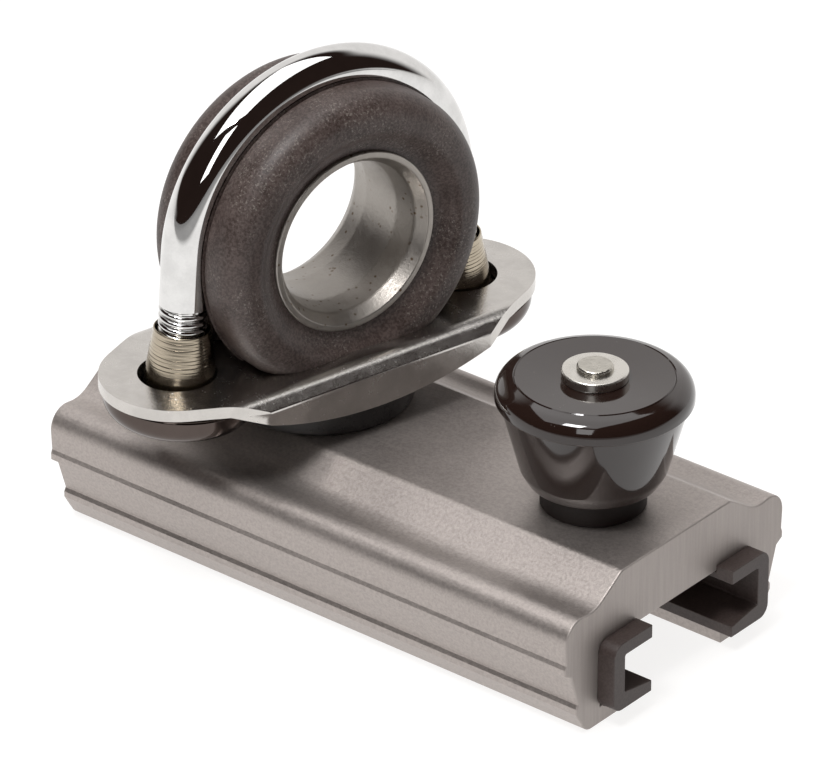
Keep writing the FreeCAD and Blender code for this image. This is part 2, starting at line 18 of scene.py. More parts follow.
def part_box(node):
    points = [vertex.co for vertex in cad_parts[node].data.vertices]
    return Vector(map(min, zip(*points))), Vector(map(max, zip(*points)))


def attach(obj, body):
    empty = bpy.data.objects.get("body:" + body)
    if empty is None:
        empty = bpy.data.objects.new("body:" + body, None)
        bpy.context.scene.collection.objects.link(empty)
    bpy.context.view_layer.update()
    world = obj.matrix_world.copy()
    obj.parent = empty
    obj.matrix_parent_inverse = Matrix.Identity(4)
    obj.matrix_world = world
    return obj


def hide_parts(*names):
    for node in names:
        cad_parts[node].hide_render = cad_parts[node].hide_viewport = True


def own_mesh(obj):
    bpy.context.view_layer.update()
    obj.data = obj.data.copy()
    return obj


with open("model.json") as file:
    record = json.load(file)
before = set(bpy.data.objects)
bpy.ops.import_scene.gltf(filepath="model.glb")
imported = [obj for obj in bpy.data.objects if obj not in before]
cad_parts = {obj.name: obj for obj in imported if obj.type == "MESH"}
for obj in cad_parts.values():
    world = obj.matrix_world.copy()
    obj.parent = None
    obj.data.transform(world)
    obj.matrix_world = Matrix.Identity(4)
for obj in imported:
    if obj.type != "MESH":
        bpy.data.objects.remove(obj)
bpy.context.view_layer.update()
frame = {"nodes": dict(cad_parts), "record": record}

LOG = logging.getLogger("track_slide")
MM = 0.001

# How far a cutter stands out of what it cuts, and the gap between pieces that touch, in millimetres.
OVERSHOOT = 1.0
PLAY = 0.03

# Flats to a turn, and the turn in degrees past which an edge is shaded sharp.
TURN_STEPS = 120
SHARP_TURN = 38

# Turns of a shape that is drawn flat: its outline then stands up, and its length runs across or along.
UPRIGHT = Matrix.Rotation(math.radians(90), 4, "X")
LENGTHWISE = Matrix.Rotation(math.radians(90), 4, "Z") @ UPRIGHT

Corner = tuple[float, ...]
Colour = tuple[float, float, float]
Span = tuple[float, float]


class Body(Enum):
    """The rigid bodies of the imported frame."""

    SLIDE = "slide"
    SWIVEL = "swivel"
    PLUNGER = "plunger"


class Grain(Enum):
    """Which way the fine marks of a finish run."""

    EVEN = "even"
    ROUND = "round"


@dataclass(frozen=True)
class Extent:
    """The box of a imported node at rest, in millimetres."""

    low: Vector
    high: Vector

    @classmethod
    def of(cls, node: str) -> "Extent":
        """Measure a node.

        Args:
            node: The node's name.

        Returns:
            The node's box.
        """
        low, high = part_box(node)
        return cls(low / MM, high / MM)

    @property
    def size(self) -> Vector:
        """The box's three sides."""
        return self.high - self.low

    @property
    def centre(self) -> Vector:
        """The box's middle."""
        return (self.high + self.low) / 2


class Term:
    """A shader socket that takes part in sums written as Python expressions."""

    def __init__(self, graph: "Graph", socket: bpy.types.NodeSocket) -> None:
        """Wrap an output socket of a graph."""
        self.graph = graph
        self.socket = socket

    def _maths(self, operation: str, first: "Term | float", second: "Term | float") -> "Term":
        """Add a Math node for two values."""
        return self.graph.node("ShaderNodeMath", {"operation": operation}, {0: first, 1: second})

    def __add__(self, other: "Term | float") -> "Term":
        """Sum of two values."""
        return self._maths("ADD", self, other)

    __radd__ = __add__

    def __sub__(self, other: "Term | float") -> "Term":
        """Difference of two values."""
        return self._maths("SUBTRACT", self, other)

    def __rsub__(self, other: float) -> "Term":
        """Difference from a number."""
        return self._maths("SUBTRACT", other, self)

    def __mul__(self, other: "Term | float") -> "Term":
        """Product of two values."""
        return self._maths("MULTIPLY", self, other)

    __rmul__ = __mul__

    def __abs__(self) -> "Term":
        """Size of a value, without its sign."""
        return self._maths("ABSOLUTE", self, 0.0)

    def most(self, other: "Term | float") -> "Term":
        """The larger of two values."""
        return self._maths("MAXIMUM", self, other)

    def ramp(self, start: float, end: float) -> "Term":
        """A smooth step.

        Args:
            start: Where the step is 0. It may lie above end, for a falling step.
            end: Where the step is 1.

        Returns:
            The step's value, between 0 and 1.
        """
        low, high = min(start, end), max(start, end)
        risen = self.graph.node(
            "ShaderNodeMapRange",
            {"interpolation_type": "SMOOTHSTEP"},
            {0: self, 1: low, 2: high, 3: 0.0, 4: 1.0},
        )
        return risen if end >= start else 1.0 - risen


class Graph:
    """A node tree that is written from code."""

    def __init__(self, tree: bpy.types.NodeTree) -> None:
        """Take over an empty tree."""
        self.tree = tree
        self.tree.nodes.clear()

    def node(
        self,
        kind: str,
        settings: Mapping[str, object] | None = None,
        values: Mapping[int | str, object] | None = None,
        output: int | str = 0,
    ) -> Term:
        """Add a node.

        Args:
            kind: The node's type.
            settings: Its own settings, set before its sockets.
            values: Numbers, colours or terms for its input sockets.
            output: Which output is wanted.

        Returns:
            The wanted output.
        """
        made = self.tree.nodes.new(kind)
        for name, value in (settings or {}).items():
            setattr(made, name, value)
        for key, value in (values or {}).items():
            if isinstance(value, Term):
                self.tree.links.new(value.socket, made.inputs[key])
            else:
                made.inputs[key].default_value = value
        return Term(self, made.outputs[output])

    def end(self, kind: str, shader: Term) -> None:
        """Link a shader to the tree's own output.

        Args:
            kind: The output node's type.
            shader: What is linked to it.
        """
        self.tree.links.new(shader.socket, self.tree.nodes.new(kind).inputs["Surface"])

    def place(self) -> Term:
        """Where a point is on the piece, in millimetres."""
        return self.scaled(self.node("ShaderNodeTexCoord", output="Object"), (1 / MM,) * 3)

    def around(self) -> Term:
        """Where a point is on a turned piece: round it and along its outline, in millimetres."""
        return self.scaled(self.node("ShaderNodeUVMap", {"uv_map": "turn"}), (1 / MM, 1 / MM, 0.0))

    def scaled(self, vector: Term, by: Colour) -> Term:
        """Stretch a vector along its three axes."""
        return self.node("ShaderNodeVectorMath", {"operation": "MULTIPLY"}, {0: vector, 1: by})

    def parts(self, vector: Term) -> tuple[Term, Term, Term]:
        """The three parts of a vector."""
        first = self.node("ShaderNodeSeparateXYZ", {}, {0: vector})
        outputs = first.socket.node.outputs
        return first, Term(self, outputs[1]), Term(self, outputs[2])

    def along(self, vector: Term, way: Colour) -> Term:
        """How far a vector reaches along a direction."""
        return self.node("ShaderNodeVectorMath", {"operation": "DOT_PRODUCT"}, {0: vector, 1: way}, "Value")

    def noise(self, vector: Term, scale: float, detail: float = 2.0, rough: float = 0.5) -> Term:
        """Soft random values between 0 and 1.

        Args:
            vector: Where the values are read.
            scale: How many grains there are to a unit.
            detail: How many finer layers are added.
            rough: How strong the finer layers are.

        Returns:
            The values.
        """
        values = {"Vector": vector, "Scale": scale, "Detail": detail, "Roughness": rough}
        return self.node("ShaderNodeTexNoise", {}, values)

    def spots(self, vector: Term, scale: float) -> Term:
        """Distance to the nearest of many scattered points."""
        return self.node("ShaderNodeTexVoronoi", {}, {"Vector": vector, "Scale": scale})

    def mixed(self, first: object, second: object, share: Term | float) -> Term:
        """Blend two colours.

        Args:
            first: The colour where share is 0.
            second: The colour where share is 1.
            share: How much of the second there is.

        Returns:
            The blend.
        """
        ends = [end if isinstance(end, Term) else (*end, 1.0) for end in (first, second)]
        return self.node(
            "ShaderNodeMix",
            {"data_type": "RGBA", "clamp_factor": True},
            {0: share, 6: ends[0], 7: ends[1]},
            output=2,
        )

    def relief(self, height: Term, depth: float) -> Term:
        """A normal that is tilted by a fine relief.

        Args:
            height: The relief, about 0 to 1.
            depth: How deep the relief is, in millimetres.

        Returns:
            The normal.
        """
        return self.node("ShaderNodeBump", {}, {"Strength": 1.0, "Distance": depth * MM, "Height": height})


def shaded(colour: Colour, by: float) -> Colour:
    """A colour made darker or lighter."""
    return tuple(part * by for part in colour)


@dataclass(frozen=True)
class Finish:
    """A surface finish: what every kind of it shares."""

    name: str
    colour: Colour

    def material(self) -> bpy.types.Material:
        """Make the finish's material, or find it if it is made.

        Returns:
            The material.
        """
        known = bpy.data.materials.get(self.name)
        if known is not None:
            return known
        made = bpy.data.materials.new(self.name)
        made.use_nodes = True
        made.diffuse_color = (*self.colour, 1.0)
        graph = Graph(made.node_tree)
        shader = graph.node("ShaderNodeBsdfPrincipled", {}, {"Base Color": (*self.colour, 1.0)})
        for socket, value in self.sockets(graph).items():
            target = shader.socket.node.inputs[socket]
            if isinstance(value, Term):
                graph.tree.links.new(value.socket, target)
            else:
                target.default_value = value
        graph.end("ShaderNodeOutputMaterial", shader)
        return made

    def sockets(self, graph: Graph) -> dict[str, object]:
        """What goes into the shader's sockets."""
        raise NotImplementedError


@dataclass(frozen=True)
class Metal(Finish):
    """Bare metal, with grain, dull patches, stains and fine scratches."""

    roughness: float = 0.25
    spread: float = 0.12
    grain: Grain = Grain.EVEN
    grain_depth: float = 0.004
    grain_pitch: float = 0.12
    stain: Colour = (0.3, 0.2, 0.1)
    stain_share: float = 0.0
    stain_size: float = 0.16
    stains: float = 1.1
    stain_patches: float = 0.4
    stretch: float = 72.0
    clouds: float = 0.35
    dull: float = 0.82
    wear_share: float = 0.6

    def sockets(self, graph: Graph) -> dict[str, object]:
        """Even or drawn-out grain, over soft cloudy wear.

        Args:
            graph: The material's graph.

        Returns:
            Values and terms by socket.
        """
        place = graph.place()
        fine = 1 / self.grain_pitch
        if self.grain is Grain.ROUND:
            drawn_out = graph.scaled(graph.around(), (fine / self.stretch, fine, 0.0))
            marks = graph.noise(drawn_out, 1.0, 3.0, 0.6)
        else:
            marks = graph.noise(place, fine, 3.0, 0.6)
        wear = graph.noise(place, self.clouds, 4.0, 0.6)
        stained = graph.noise(place, self.stain_patches).ramp(0.5, 0.62)
        specks = graph.spots(place, self.stains).ramp(self.stain_size, self.stain_size / 3) * stained
        bright = wear.ramp(0.3, 0.65) * self.wear_share + marks * (1 - self.wear_share)
        tone = graph.mixed(shaded(self.colour, self.dull), self.colour, bright)
        return {
            "Base Color": graph.mixed(tone, self.stain, specks * self.stain_share),
            "Metallic": 1.0,
            "Roughness": (marks - 0.5) * self.spread + (wear - 0.5) * self.spread + self.roughness,
            "Normal": graph.relief(marks, self.grain_depth),
        }


@dataclass(frozen=True)
class Anodised(Finish):
    """Sanded and anodised extrusion, paler where its ends were sawn after."""

    sawn: Colour
    half_length: float
    roughness: float = 0.44
    grains: float = 2.6
    drawn_grains: Colour = (0.05, 2.6, 2.6)
    sawn_grains: Colour = (2.0, 2.0, 0.1)
    clouds: float = 0.12
    tones: Span = (0.74, 1.2)
    sawn_tone: float = 0.91
    metal: float = 0.85
    sawn_metal: float = 0.6
    depth: float = 0.035

    def sockets(self, graph: Graph) -> dict[str, object]:
        """Sandy speckle over drawn lines, and upright saw marks on the ends.

        Args:
            graph: The material's graph.

        Returns:
            Values and terms by socket.
        """
        place = graph.place()
        along, _, _ = graph.parts(place)
        end = abs(along).ramp(self.half_length - 0.3, self.half_length - 0.05)
        sand = graph.noise(place, self.grains, 3.0, 0.75)
        drawn = graph.noise(graph.scaled(place, self.drawn_grains), 1.0, 4.0, 0.6)
        sawn = graph.noise(graph.scaled(place, self.sawn_grains), 1.0, 3.0, 0.6)
        cloud = graph.noise(place, self.clouds, 3.0, 0.55)
        dark, light = (shaded(self.colour, tone) for tone in self.tones)
        side = graph.mixed(dark, light, sand.ramp(0.3, 0.7) * 0.5 + drawn * 0.25 + cloud * 0.25)
        face = graph.mixed(shaded(self.sawn, self.sawn_tone), self.sawn, sawn.ramp(0.3, 0.7))
        height = (sand * 0.8 + drawn * 0.5) * (1.0 - end) + (sawn * 0.35 + sand * 0.3) * end
        return {
            "Base Color": graph.mixed(side, face, end),
            "Metallic": self.metal - end * (self.metal - self.sawn_metal),
            "Roughness": (sand - 0.5) * 0.2 + (cloud - 0.5) * 0.12 + end * 0.06 + self.roughness,
            "Normal": graph.relief(height, self.depth),
        }


@dataclass(frozen=True)
class Moulding(Finish):
    """Moulded plastic with a pale bloom, fine pits and a few pale flecks."""

    bloom: Colour
    roughness: float = 0.55
    pit_depth: float = 0.02
    pit_size: float = 0.25
    fleck_share: float = 0.0
    grit_share: float = 0.0
    gloss: float = 0.5
    clouds: float = 0.25
    flecks: float = 1.9
    fleck_patches: float = 0.9
    grits: float = 3.0
    grit_patches: float = 0.13
    worn: Colour = (0.3, 0.27, 0.24)

    def sockets(self, graph: Graph) -> dict[str, object]:
        """Pits and flecks in a slightly cloudy tone.

        Args:
            graph: The material's graph.

        Returns:
            Values and terms by socket.
        """
        place = graph.place()
        pits = graph.noise(place, 1 / self.pit_size, 3.0, 0.6)
        cloud = graph.noise(place, self.clouds, 4.0, 0.6)
        flecked = graph.noise(place, self.fleck_patches).ramp(0.45, 0.6)
        fleck = graph.spots(place, self.flecks).ramp(0.17, 0.07) * flecked
        gritted = graph.noise(place, self.grit_patches).ramp(0.38, 0.62)
        grit = graph.noise(place, self.grits, 2.0, 0.8).ramp(0.54, 0.7) * gritted
        bloom = cloud.ramp(0.3, 0.7) * 0.4 + pits.ramp(0.38, 0.62) * 0.6
        tone = graph.mixed(self.colour, self.bloom, bloom)
        pale = (fleck * self.fleck_share).most(grit * self.grit_share)
        return {
            "Base Color": graph.mixed(tone, self.worn, pale),
            "Roughness": (pits - 0.5) * 0.18 + (cloud - 0.5) * 0.1 + self.roughness,
            "Specular IOR Level": self.gloss,
            "Normal": graph.relief(pits, self.pit_depth),
        }


@dataclass(frozen=True)
class Gloss(Finish):
    """Polished plastic with faint rubbed marks and a little dust."""

    roughness: float = 0.07
    dust: Colour = (0.12, 0.11, 0.1)
    dust_share: float = 0.6
    specks: float = 1.4
    speck_patches: float = 0.5
    clouds: float = 0.3
    ripples: float = 0.22
    ripple_depth: float = 0.03
    coat: float = 0.4
    coat_roughness: float = 0.03

    def sockets(self, graph: Graph) -> dict[str, object]:
        """Faint haze and specks on a polished surface.

        Args:
            graph: The material's graph.

        Returns:
            Values and terms by socket.
        """
        place = graph.place()
        haze = graph.noise(place, self.clouds, 4.0, 0.6)
        ripple = graph.noise(place, self.ripples, 1.0)
        dusted = graph.noise(place, self.speck_patches).ramp(0.52, 0.62)
        dust = graph.spots(place, self.specks).ramp(0.1, 0.03) * dusted
        pale = dust * self.dust_share + haze.ramp(0.6, 0.8) * 0.04
        return {
            "Base Color": graph.mixed(self.colour, self.dust, pale),
            "Roughness": haze.ramp(0.45, 0.8) * 0.07 + dust * 0.4 + self.roughness,
            "Coat Weight": self.coat,
            "Coat Roughness": self.coat_roughness,
            "Normal": graph.relief(ripple, self.ripple_depth),
        }


@dataclass(frozen=True)
class PaleFloor(Finish):
    """White paper that glows a little, and turns a soft grey on the camera's side of the object."""

    forward: Colour
    light: Colour = (1.0, 0.99, 0.98)
    edge: Span = (260.0, 165.0)
    outer: Colour = (0.12, 0.118, 0.116)
    outer_light: Colour = (0.28, 0.28, 0.28)
    glow: float = 0.86
    roughness: float = 0.9

    def sockets(self, graph: Graph) -> dict[str, object]:
        """An even white that turns grey beyond the paper's edge.

        Args:
            graph: The material's graph.

        Returns:
            Values and terms by socket.
        """
        paper = graph.along(graph.place(), self.forward).ramp(*self.edge)
        return {
            "Base Color": graph.mixed(self.outer, self.colour, paper),
            "Roughness": self.roughness,
            "Emission Color": graph.mixed(self.outer_light, self.light, paper),
            "Emission Strength": self.glow,
        }


def rounded(corners: Sequence[Corner], step: float = 7.5) -> list[Vector]:
    """Points of a closed outline, with arcs at the corners that have a radius.

    Args:
        corners: Each (x, y) or (x, y, radius).
        step: Degrees between the points of an arc.

    Returns:
        The outline's points.
    """
    points: list[Vector] = []
    for i, corner in enumerate(corners):
        here = Vector(corner[:2])
        radius = corner[2] if len(corner) > 2 else 0.0
        if radius <= 0.0:
            points.append(here)
            continue
        before = (Vector(corners[i - 1][:2]) - here).normalized()
        after = (Vector(corners[(i + 1) % len(corners)][:2]) - here).normalized()
        half = before.angle(after) / 2
        centre = here + (before + after).normalized() * (radius / math.sin(half))
        first = here + before * (radius / math.tan(half)) - centre
        last = here + after * (radius / math.tan(half)) - centre
        turn = math.copysign(math.pi - 2 * half, first.x * last.y - first.y * last.x)
        count = max(2, math.ceil(abs(math.degrees(turn)) / step))
        points += [centre + Matrix.Rotation(turn * k / count, 2) @ first for k in range(count + 1)]
    return points


def mirrored(corners: Sequence[Corner]) -> list[Corner]:
    """Corners on the +x side, followed by their mirror images in order round the outline."""
    return list(corners) + [(-corner[0], *corner[1:]) for corner in reversed(corners)]


def both_faces(corners: Sequence[Corner]) -> list[Corner]:
    """Corners on the +y side, followed by their mirror images in order round the outline."""
    return list(corners) + [(corner[0], -corner[1], *corner[2:]) for corner in reversed(corners)]


def offset(points: Sequence[Vector], distance: float) -> list[Vector]:
    """Move a closed outline inwards. Arcs too small for the move close up to a corner.

    Args:
        points: The outline's points.
        distance: How far it moves.

    Returns:
        The moved points, as many as there were.
    """
    count = len(points)
    area = sum(points[i - 1].x * points[i].y - points[i].x * points[i - 1].y for i in range(count))
    side = math.copysign(1.0, area)
    ways = [(points[(i + 1) % count] - points[i]).normalized() for i in range(count)]
    inward = [Vector((-way.y, way.x)) * side for way in ways]
    kept = list(range(count))

    def meeting(i: int, j: int) -> Vector:
        """Where the moved lines of two edges meet."""
        start = points[i] + inward[i] * distance
        across = ways[i].cross(ways[j])
        if abs(across) < 1e-4:
            return points[j] + inward[j] * distance
        gap = points[j] + inward[j] * distance - start
        return start + ways[i] * (gap.cross(ways[j]) / across)

    turned = True
    while turned:
        corners = [meeting(kept[k - 1], kept[k]) for k in range(len(kept))]
        turned = [
            k for k in range(len(kept))
            if (corners[(k + 1) % len(kept)] - corners[k]).dot(ways[kept[k]]) < 1e-6
        ]
        kept = [edge for k, edge in enumerate(kept) if k not in turned]
    return [corners[next((k for k, edge in enumerate(kept) if edge >= i), 0)] for i in range(count)]


class Shape:
    """A closed mesh in the making, in millimetres and in axes of its own."""

    def __init__(self, mesh: bpy.types.Mesh) -> None:
        """Hold a mesh on an object that modifiers can work on."""
        self.thing = bpy.data.objects.new(mesh.name, mesh)
        bpy.context.scene.collection.objects.link(self.thing)

    @classmethod
    def from_bmesh(cls, name: str, work: bmesh.types.BMesh) -> "Shape":
        """Close, tidy and keep a bmesh.

        Args:
            name: A name for the mesh.
            work: The bmesh, which is freed.

        Returns:
            The shape.
        """
        bmesh.ops.remove_doubles(work, verts=work.verts, dist=1e-5)
        bmesh.ops.recalc_face_normals(work, faces=work.faces)
        mesh = bpy.data.meshes.new(name)
        work.to_mesh(mesh)
        work.free()
        return cls(mesh)

    @classmethod
    def prism(
        cls, name: str, outline: Sequence[Vector], low: float, high: float, edge: float = 0.0
    ) -> "Shape":
        """Pull an outline along Z.

        Args:
            name: A name for the mesh.
            outline: Its points in X and Y.
            low: Where it starts.
            high: Where it ends.
            edge: Radius that rounds over both ends.

        Returns:
            The shape.
        """
        rings = [(low, 0.0), (high, 0.0)]
        if edge > 0.0:
            turns = [math.radians(angle) for angle in (90, 60, 30, 0)]
            lower = [(low + edge * (1 - math.cos(t)), edge * (1 - math.sin(t))) for t in turns[::-1]]
            rings = lower + [(high + low - z, inset) for z, inset in lower[::-1]]
        work = bmesh.new()
        levels = []
        for height, inset in rings:
            points = offset(outline, inset) if inset > 0.0 else outline
            levels.append([work.verts.new((p.x, p.y, height)) for p in points])
        for lower_ring, upper_ring in zip(levels, levels[1:]):
            for i in range(len(outline)):
                work.faces.new((lower_ring[i - 1], lower_ring[i], upper_ring[i], upper_ring[i - 1]))
        work.faces.new(levels[0])
        work.faces.new(levels[-1])
        return cls.from_bmesh(name, work)

    @classmethod
    def lathe(cls, name: str, outline: Sequence[Vector], steps: int = TURN_STEPS) -> "Shape":
        """Spin an outline of radius and height about Z, with a map that runs round and along it.

        Args:
            name: A name for the mesh.
            outline: Points of radius and height, in order round the section.
            steps: How many flats there are to a turn.

        Returns:
            The shape.
        """
        work = bmesh.new()
        turn_map = work.loops.layers.uv.new("turn")
        widest = max(point.x for point in outline)
        rings = []
        for point in outline:
            on_axis = point.x < 1e-6
            turns = [2 * math.pi * k / steps for k in range(1 if on_axis else steps)]
            rings.append([
                work.verts.new((point.x * math.cos(t), point.x * math.sin(t), point.y)) for t in turns
            ])
        travelled = 0.0
        for i, (here, there) in enumerate(zip(rings, rings[1:] + rings[:1])):
            length = (outline[(i + 1) % len(outline)] - outline[i]).length
            if len(here) > 1 or len(there) > 1:
                for k in range(steps):
                    loop = [
                        (here[k % len(here)], k, 0.0),
                        (here[(k + 1) % len(here)], k + 1, 0.0),
                        (there[(k + 1) % len(there)], k + 1, length),
                        (there[k % len(there)], k, length),
                    ]
                    if len(here) == 1:
                        del loop[1]
                    elif len(there) == 1:
                        del loop[2]
                    face = work.faces.new([corner[0] for corner in loop])
                    for corner, (_, column, rise) in zip(face.loops, loop):
                        round_it = 2 * math.pi * widest * column / steps
                        corner[turn_map].uv = (round_it * MM, (travelled + rise) * MM)
            travelled += length
        return cls.from_bmesh(name, work)

    @classmethod
    def bar(cls, name: str, radius: float, low: float, high: float, steps: int) -> "Shape":
        """A round bar about Z, for cutting holes.

        Args:
            name: A name for the mesh.
            radius: The bar's radius.
            low: Where it starts.
            high: Where it ends.
            steps: How many flats there are to a turn.

        Returns:
            The shape.
        """
        corners = ((0, low), (radius, low), (radius, high), (0, high))
        return cls.lathe(name, [Vector(corner) for corner in corners], steps)

    def moved(self, matrix: Matrix) -> "Shape":
        """Move and turn the shape.

        Args:
            matrix: Where its axes go.

        Returns:
            The same shape.
        """
        self.thing.data.transform(matrix)
        return self

    def _settle(self) -> None:
        """Turn the modified mesh into the mesh."""
        graph = bpy.context.evaluated_depsgraph_get()
        mesh = bpy.data.meshes.new_from_object(self.thing.evaluated_get(graph))
        self.thing.modifiers.clear()
        self.thing.data = mesh

    def _with(self, other: "Shape", operation: str) -> "Shape":
        """Join, cut or intersect with another shape, which is used up."""
        change = self.thing.modifiers.new(operation, "BOOLEAN")
        change.operation = operation
        change.solver = "EXACT"
        change.object = other.thing
        bpy.context.view_layer.update()
        self._settle()
        bpy.data.objects.remove(other.thing)
        return self

    def cut(self, other: "Shape") -> "Shape":
        """Take another shape away."""
        return self._with(other, "DIFFERENCE")

    def join(self, other: "Shape") -> "Shape":
        """Make one closed shape of two that overlap."""
        return self._with(other, "UNION")

    def meet(self, other: "Shape") -> "Shape":
        """Keep what lies inside another shape too."""
        return self._with(other, "INTERSECT")

    def bevel(self, width: float, segments: int = 3, angle: float = 35.0) -> "Shape":
        """Round the edges that turn by more than an angle.

        Args:
            width: How far the rounding reaches.
            segments: How many strips it has.
            angle: The least turn, in degrees, that is rounded.

        Returns:
            The same shape.
        """
        work = bmesh.new()
        work.from_mesh(self.thing.data)
        bmesh.ops.remove_doubles(work, verts=work.verts, dist=1e-4)
        bmesh.ops.dissolve_limit(
            work, angle_limit=math.radians(0.4), verts=work.verts, edges=work.edges, delimit={"NORMAL"}
        )
        work.to_mesh(self.thing.data)
        work.free()
        change = self.thing.modifiers.new("bevel", "BEVEL")
        change.width = width
        change.segments = segments
        change.limit_method = "ANGLE"
        change.angle_limit = math.radians(angle)
        change.use_clamp_overlap = True
        change.miter_outer = "MITER_ARC"
        self._settle()
        return self

    def piece(
        self, name: str, body: Body, finish: Finish, place: Matrix, *nodes: str
    ) -> bpy.types.Object:
        """Finish the shape as a piece that rides on a body.

        Args:
            name: The piece's name.
            body: The body it moves with.
            finish: What it is dressed in.
            place: Where its own axes stand in the frame, in millimetres.
            nodes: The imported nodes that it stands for.

        Returns:
            The piece.
        """
        thing = self.thing
        thing.name = name
        thing.data.transform(Matrix.Scale(MM, 4) @ place)
        thing.data.name = name
        thing.data.shade_smooth()
        thing.data.set_sharp_from_angle(angle=math.radians(SHARP_TURN))
        weighted = thing.modifiers.new("normals", "WEIGHTED_NORMAL")
        weighted.keep_sharp = True
        self._settle()
        thing.data.materials.clear()
        thing.data.materials.append(finish.material())
        dress(thing, body, *nodes)
        return thing


def dress(thing: bpy.types.Object, body: Body, *nodes: str) -> None:
    """Let a finished piece ride on a body and stand for some nodes.

    Args:
        thing: The piece.
        body: The body it moves with.
        nodes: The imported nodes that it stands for.
    """
    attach(thing, body.value)
    if nodes:
        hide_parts(*nodes)
    LOG.info("%s: %d faces on %s", thing.name, len(thing.data.polygons), body.value)


def paint_node(node: str, finish: Finish) -> None:
    """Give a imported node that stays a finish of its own.

    Args:
        node: The node's name.
        finish: What it is dressed in.
    """
    thing = frame["nodes"][node]
    thing.data.materials.clear()
    thing.data.materials.append(finish.material())
    LOG.info("%s: dressed in %s", node, finish.name)


class Sweep:
    """Tubes along a path or a coil, made by Geometry Nodes."""

    WIRE_SIDES = 12
    COIL_STEPS = 48

    def __init__(self) -> None:
        """Start with no trees made."""
        self.trees: dict[str, bpy.types.NodeTree] = {}

    def _tree(self, coil: bool) -> bpy.types.NodeTree:
        """Make the tree for a coil or for a path, once.

        Args:
            coil: Whether the tree winds its own coil in place of the object's path.

        Returns:
            The tree.
        """
        name = "wound_wire" if coil else "bent_rod"
        if name in self.trees:
            return self.trees[name]
        tree = bpy.data.node_groups.new(name, "GeometryNodeTree")
        face = tree.interface
        face.new_socket("Geometry", in_out="INPUT", socket_type="NodeSocketGeometry")
        for word in ("Coil radius", "Height", "Turns", "Wire radius"):
            face.new_socket(word, in_out="INPUT", socket_type="NodeSocketFloat")
        face.new_socket("Sides", in_out="INPUT", socket_type="NodeSocketInt")
        face.new_socket("Material", in_out="INPUT", socket_type="NodeSocketMaterial")
        face.new_socket("Geometry", in_out="OUTPUT", socket_type="NodeSocketGeometry")
        nodes, link = tree.nodes, tree.links.new
        given = nodes.new("NodeGroupInput")
        circle = nodes.new("GeometryNodeCurvePrimitiveCircle")
        link(given.outputs["Wire radius"], circle.inputs["Radius"])
        link(given.outputs["Sides"], circle.inputs["Resolution"])
        sweep = nodes.new("GeometryNodeCurveToMesh")
        sweep.inputs["Fill Caps"].default_value = True
        link(circle.outputs["Curve"], sweep.inputs["Profile Curve"])
        if coil:
            spiral = nodes.new("GeometryNodeCurveSpiral")
            spiral.inputs["Resolution"].default_value = self.COIL_STEPS
            for word, socket in (
                ("Turns", "Rotations"),
                ("Coil radius", "Start Radius"),
                ("Coil radius", "End Radius"),
                ("Height", "Height"),
            ):
                link(given.outputs[word], spiral.inputs[socket])
            link(spiral.outputs["Curve"], sweep.inputs["Curve"])
        else:
            link(given.outputs["Geometry"], sweep.inputs["Curve"])
            link(nodes.new("GeometryNodeInputRadius").outputs["Radius"], sweep.inputs["Scale"])
        real = nodes.new("GeometryNodeRealizeInstances")
        link(sweep.outputs["Mesh"], real.inputs["Geometry"])
        paint = nodes.new("GeometryNodeSetMaterial")
        link(real.outputs["Geometry"], paint.inputs["Geometry"])
        link(given.outputs["Material"], paint.inputs["Material"])
        link(paint.outputs["Geometry"], nodes.new("NodeGroupOutput").inputs["Geometry"])
        self.trees[name] = tree
        return tree

    def _run(self, host: bpy.types.Object, coil: bool, values: Mapping[str, object]) -> Shape:
        """Run a tree on a host object and keep the mesh.

        Args:
            host: The object that the tree works on, which is used up.
            coil: Which of the two trees is run.
            values: Its named inputs.

        Returns:
            The shape.
        """
        bpy.context.scene.collection.objects.link(host)
        change = host.modifiers.new("sweep", "NODES")
        change.node_group = self._tree(coil)
        for item in change.node_group.interface.items_tree:
            if item.item_type == "SOCKET" and item.in_out == "INPUT" and item.name in values:
                change[item.identifier] = values[item.name]
        graph = bpy.context.evaluated_depsgraph_get()
        mesh = bpy.data.meshes.new_from_object(host.evaluated_get(graph))
        bpy.data.objects.remove(host)
        work = bmesh.new()
        work.from_mesh(mesh)
        return Shape.from_bmesh("swept", work)

    def rod(
        self, points: Sequence[tuple[Vector, float]], radius: float, sides: int, finish: Finish
    ) -> Shape:
        """A rod along a path.

        Args:
            points: Points of the path, each with its share of the full radius.
            radius: The rod's full radius.
            sides: How many flats there are round the rod.
            finish: Its finish.

        Returns:
            The shape.
        """
        curve = bpy.data.curves.new("path", "CURVE")
        curve.dimensions = "3D"
        spline = curve.splines.new("POLY")
        spline.points.add(len(points) - 1)
        for target, (point, share) in zip(spline.points, points):
            target.co = (*point, 1.0)
            target.radius = share
        host = bpy.data.objects.new("path", curve)
        values = {"Wire radius": radius, "Sides": sides, "Material": finish.material()}
        return self._run(host, False, values)

    def coil(self, radius: float, height: float, turns: float, wire: float, finish: Finish) -> Shape:
        """A wire wound on a cylinder about Z, from 0 up.

        Args:
            radius: From the axis to the middle of the wire.
            height: Rise over all the turns.
            turns: How many turns there are.
            wire: The wire's own radius.
            finish: Its finish.

        Returns:
            The shape.
        """
        host = bpy.data.objects.new("coil", bpy.data.meshes.new("coil"))
        values = {
            "Coil radius": radius,
            "Height": height,
            "Turns": turns,
            "Wire radius": wire,
            "Sides": self.WIRE_SIDES,
            "Material": finish.material(),
        }
        return self._run(host, True, values)


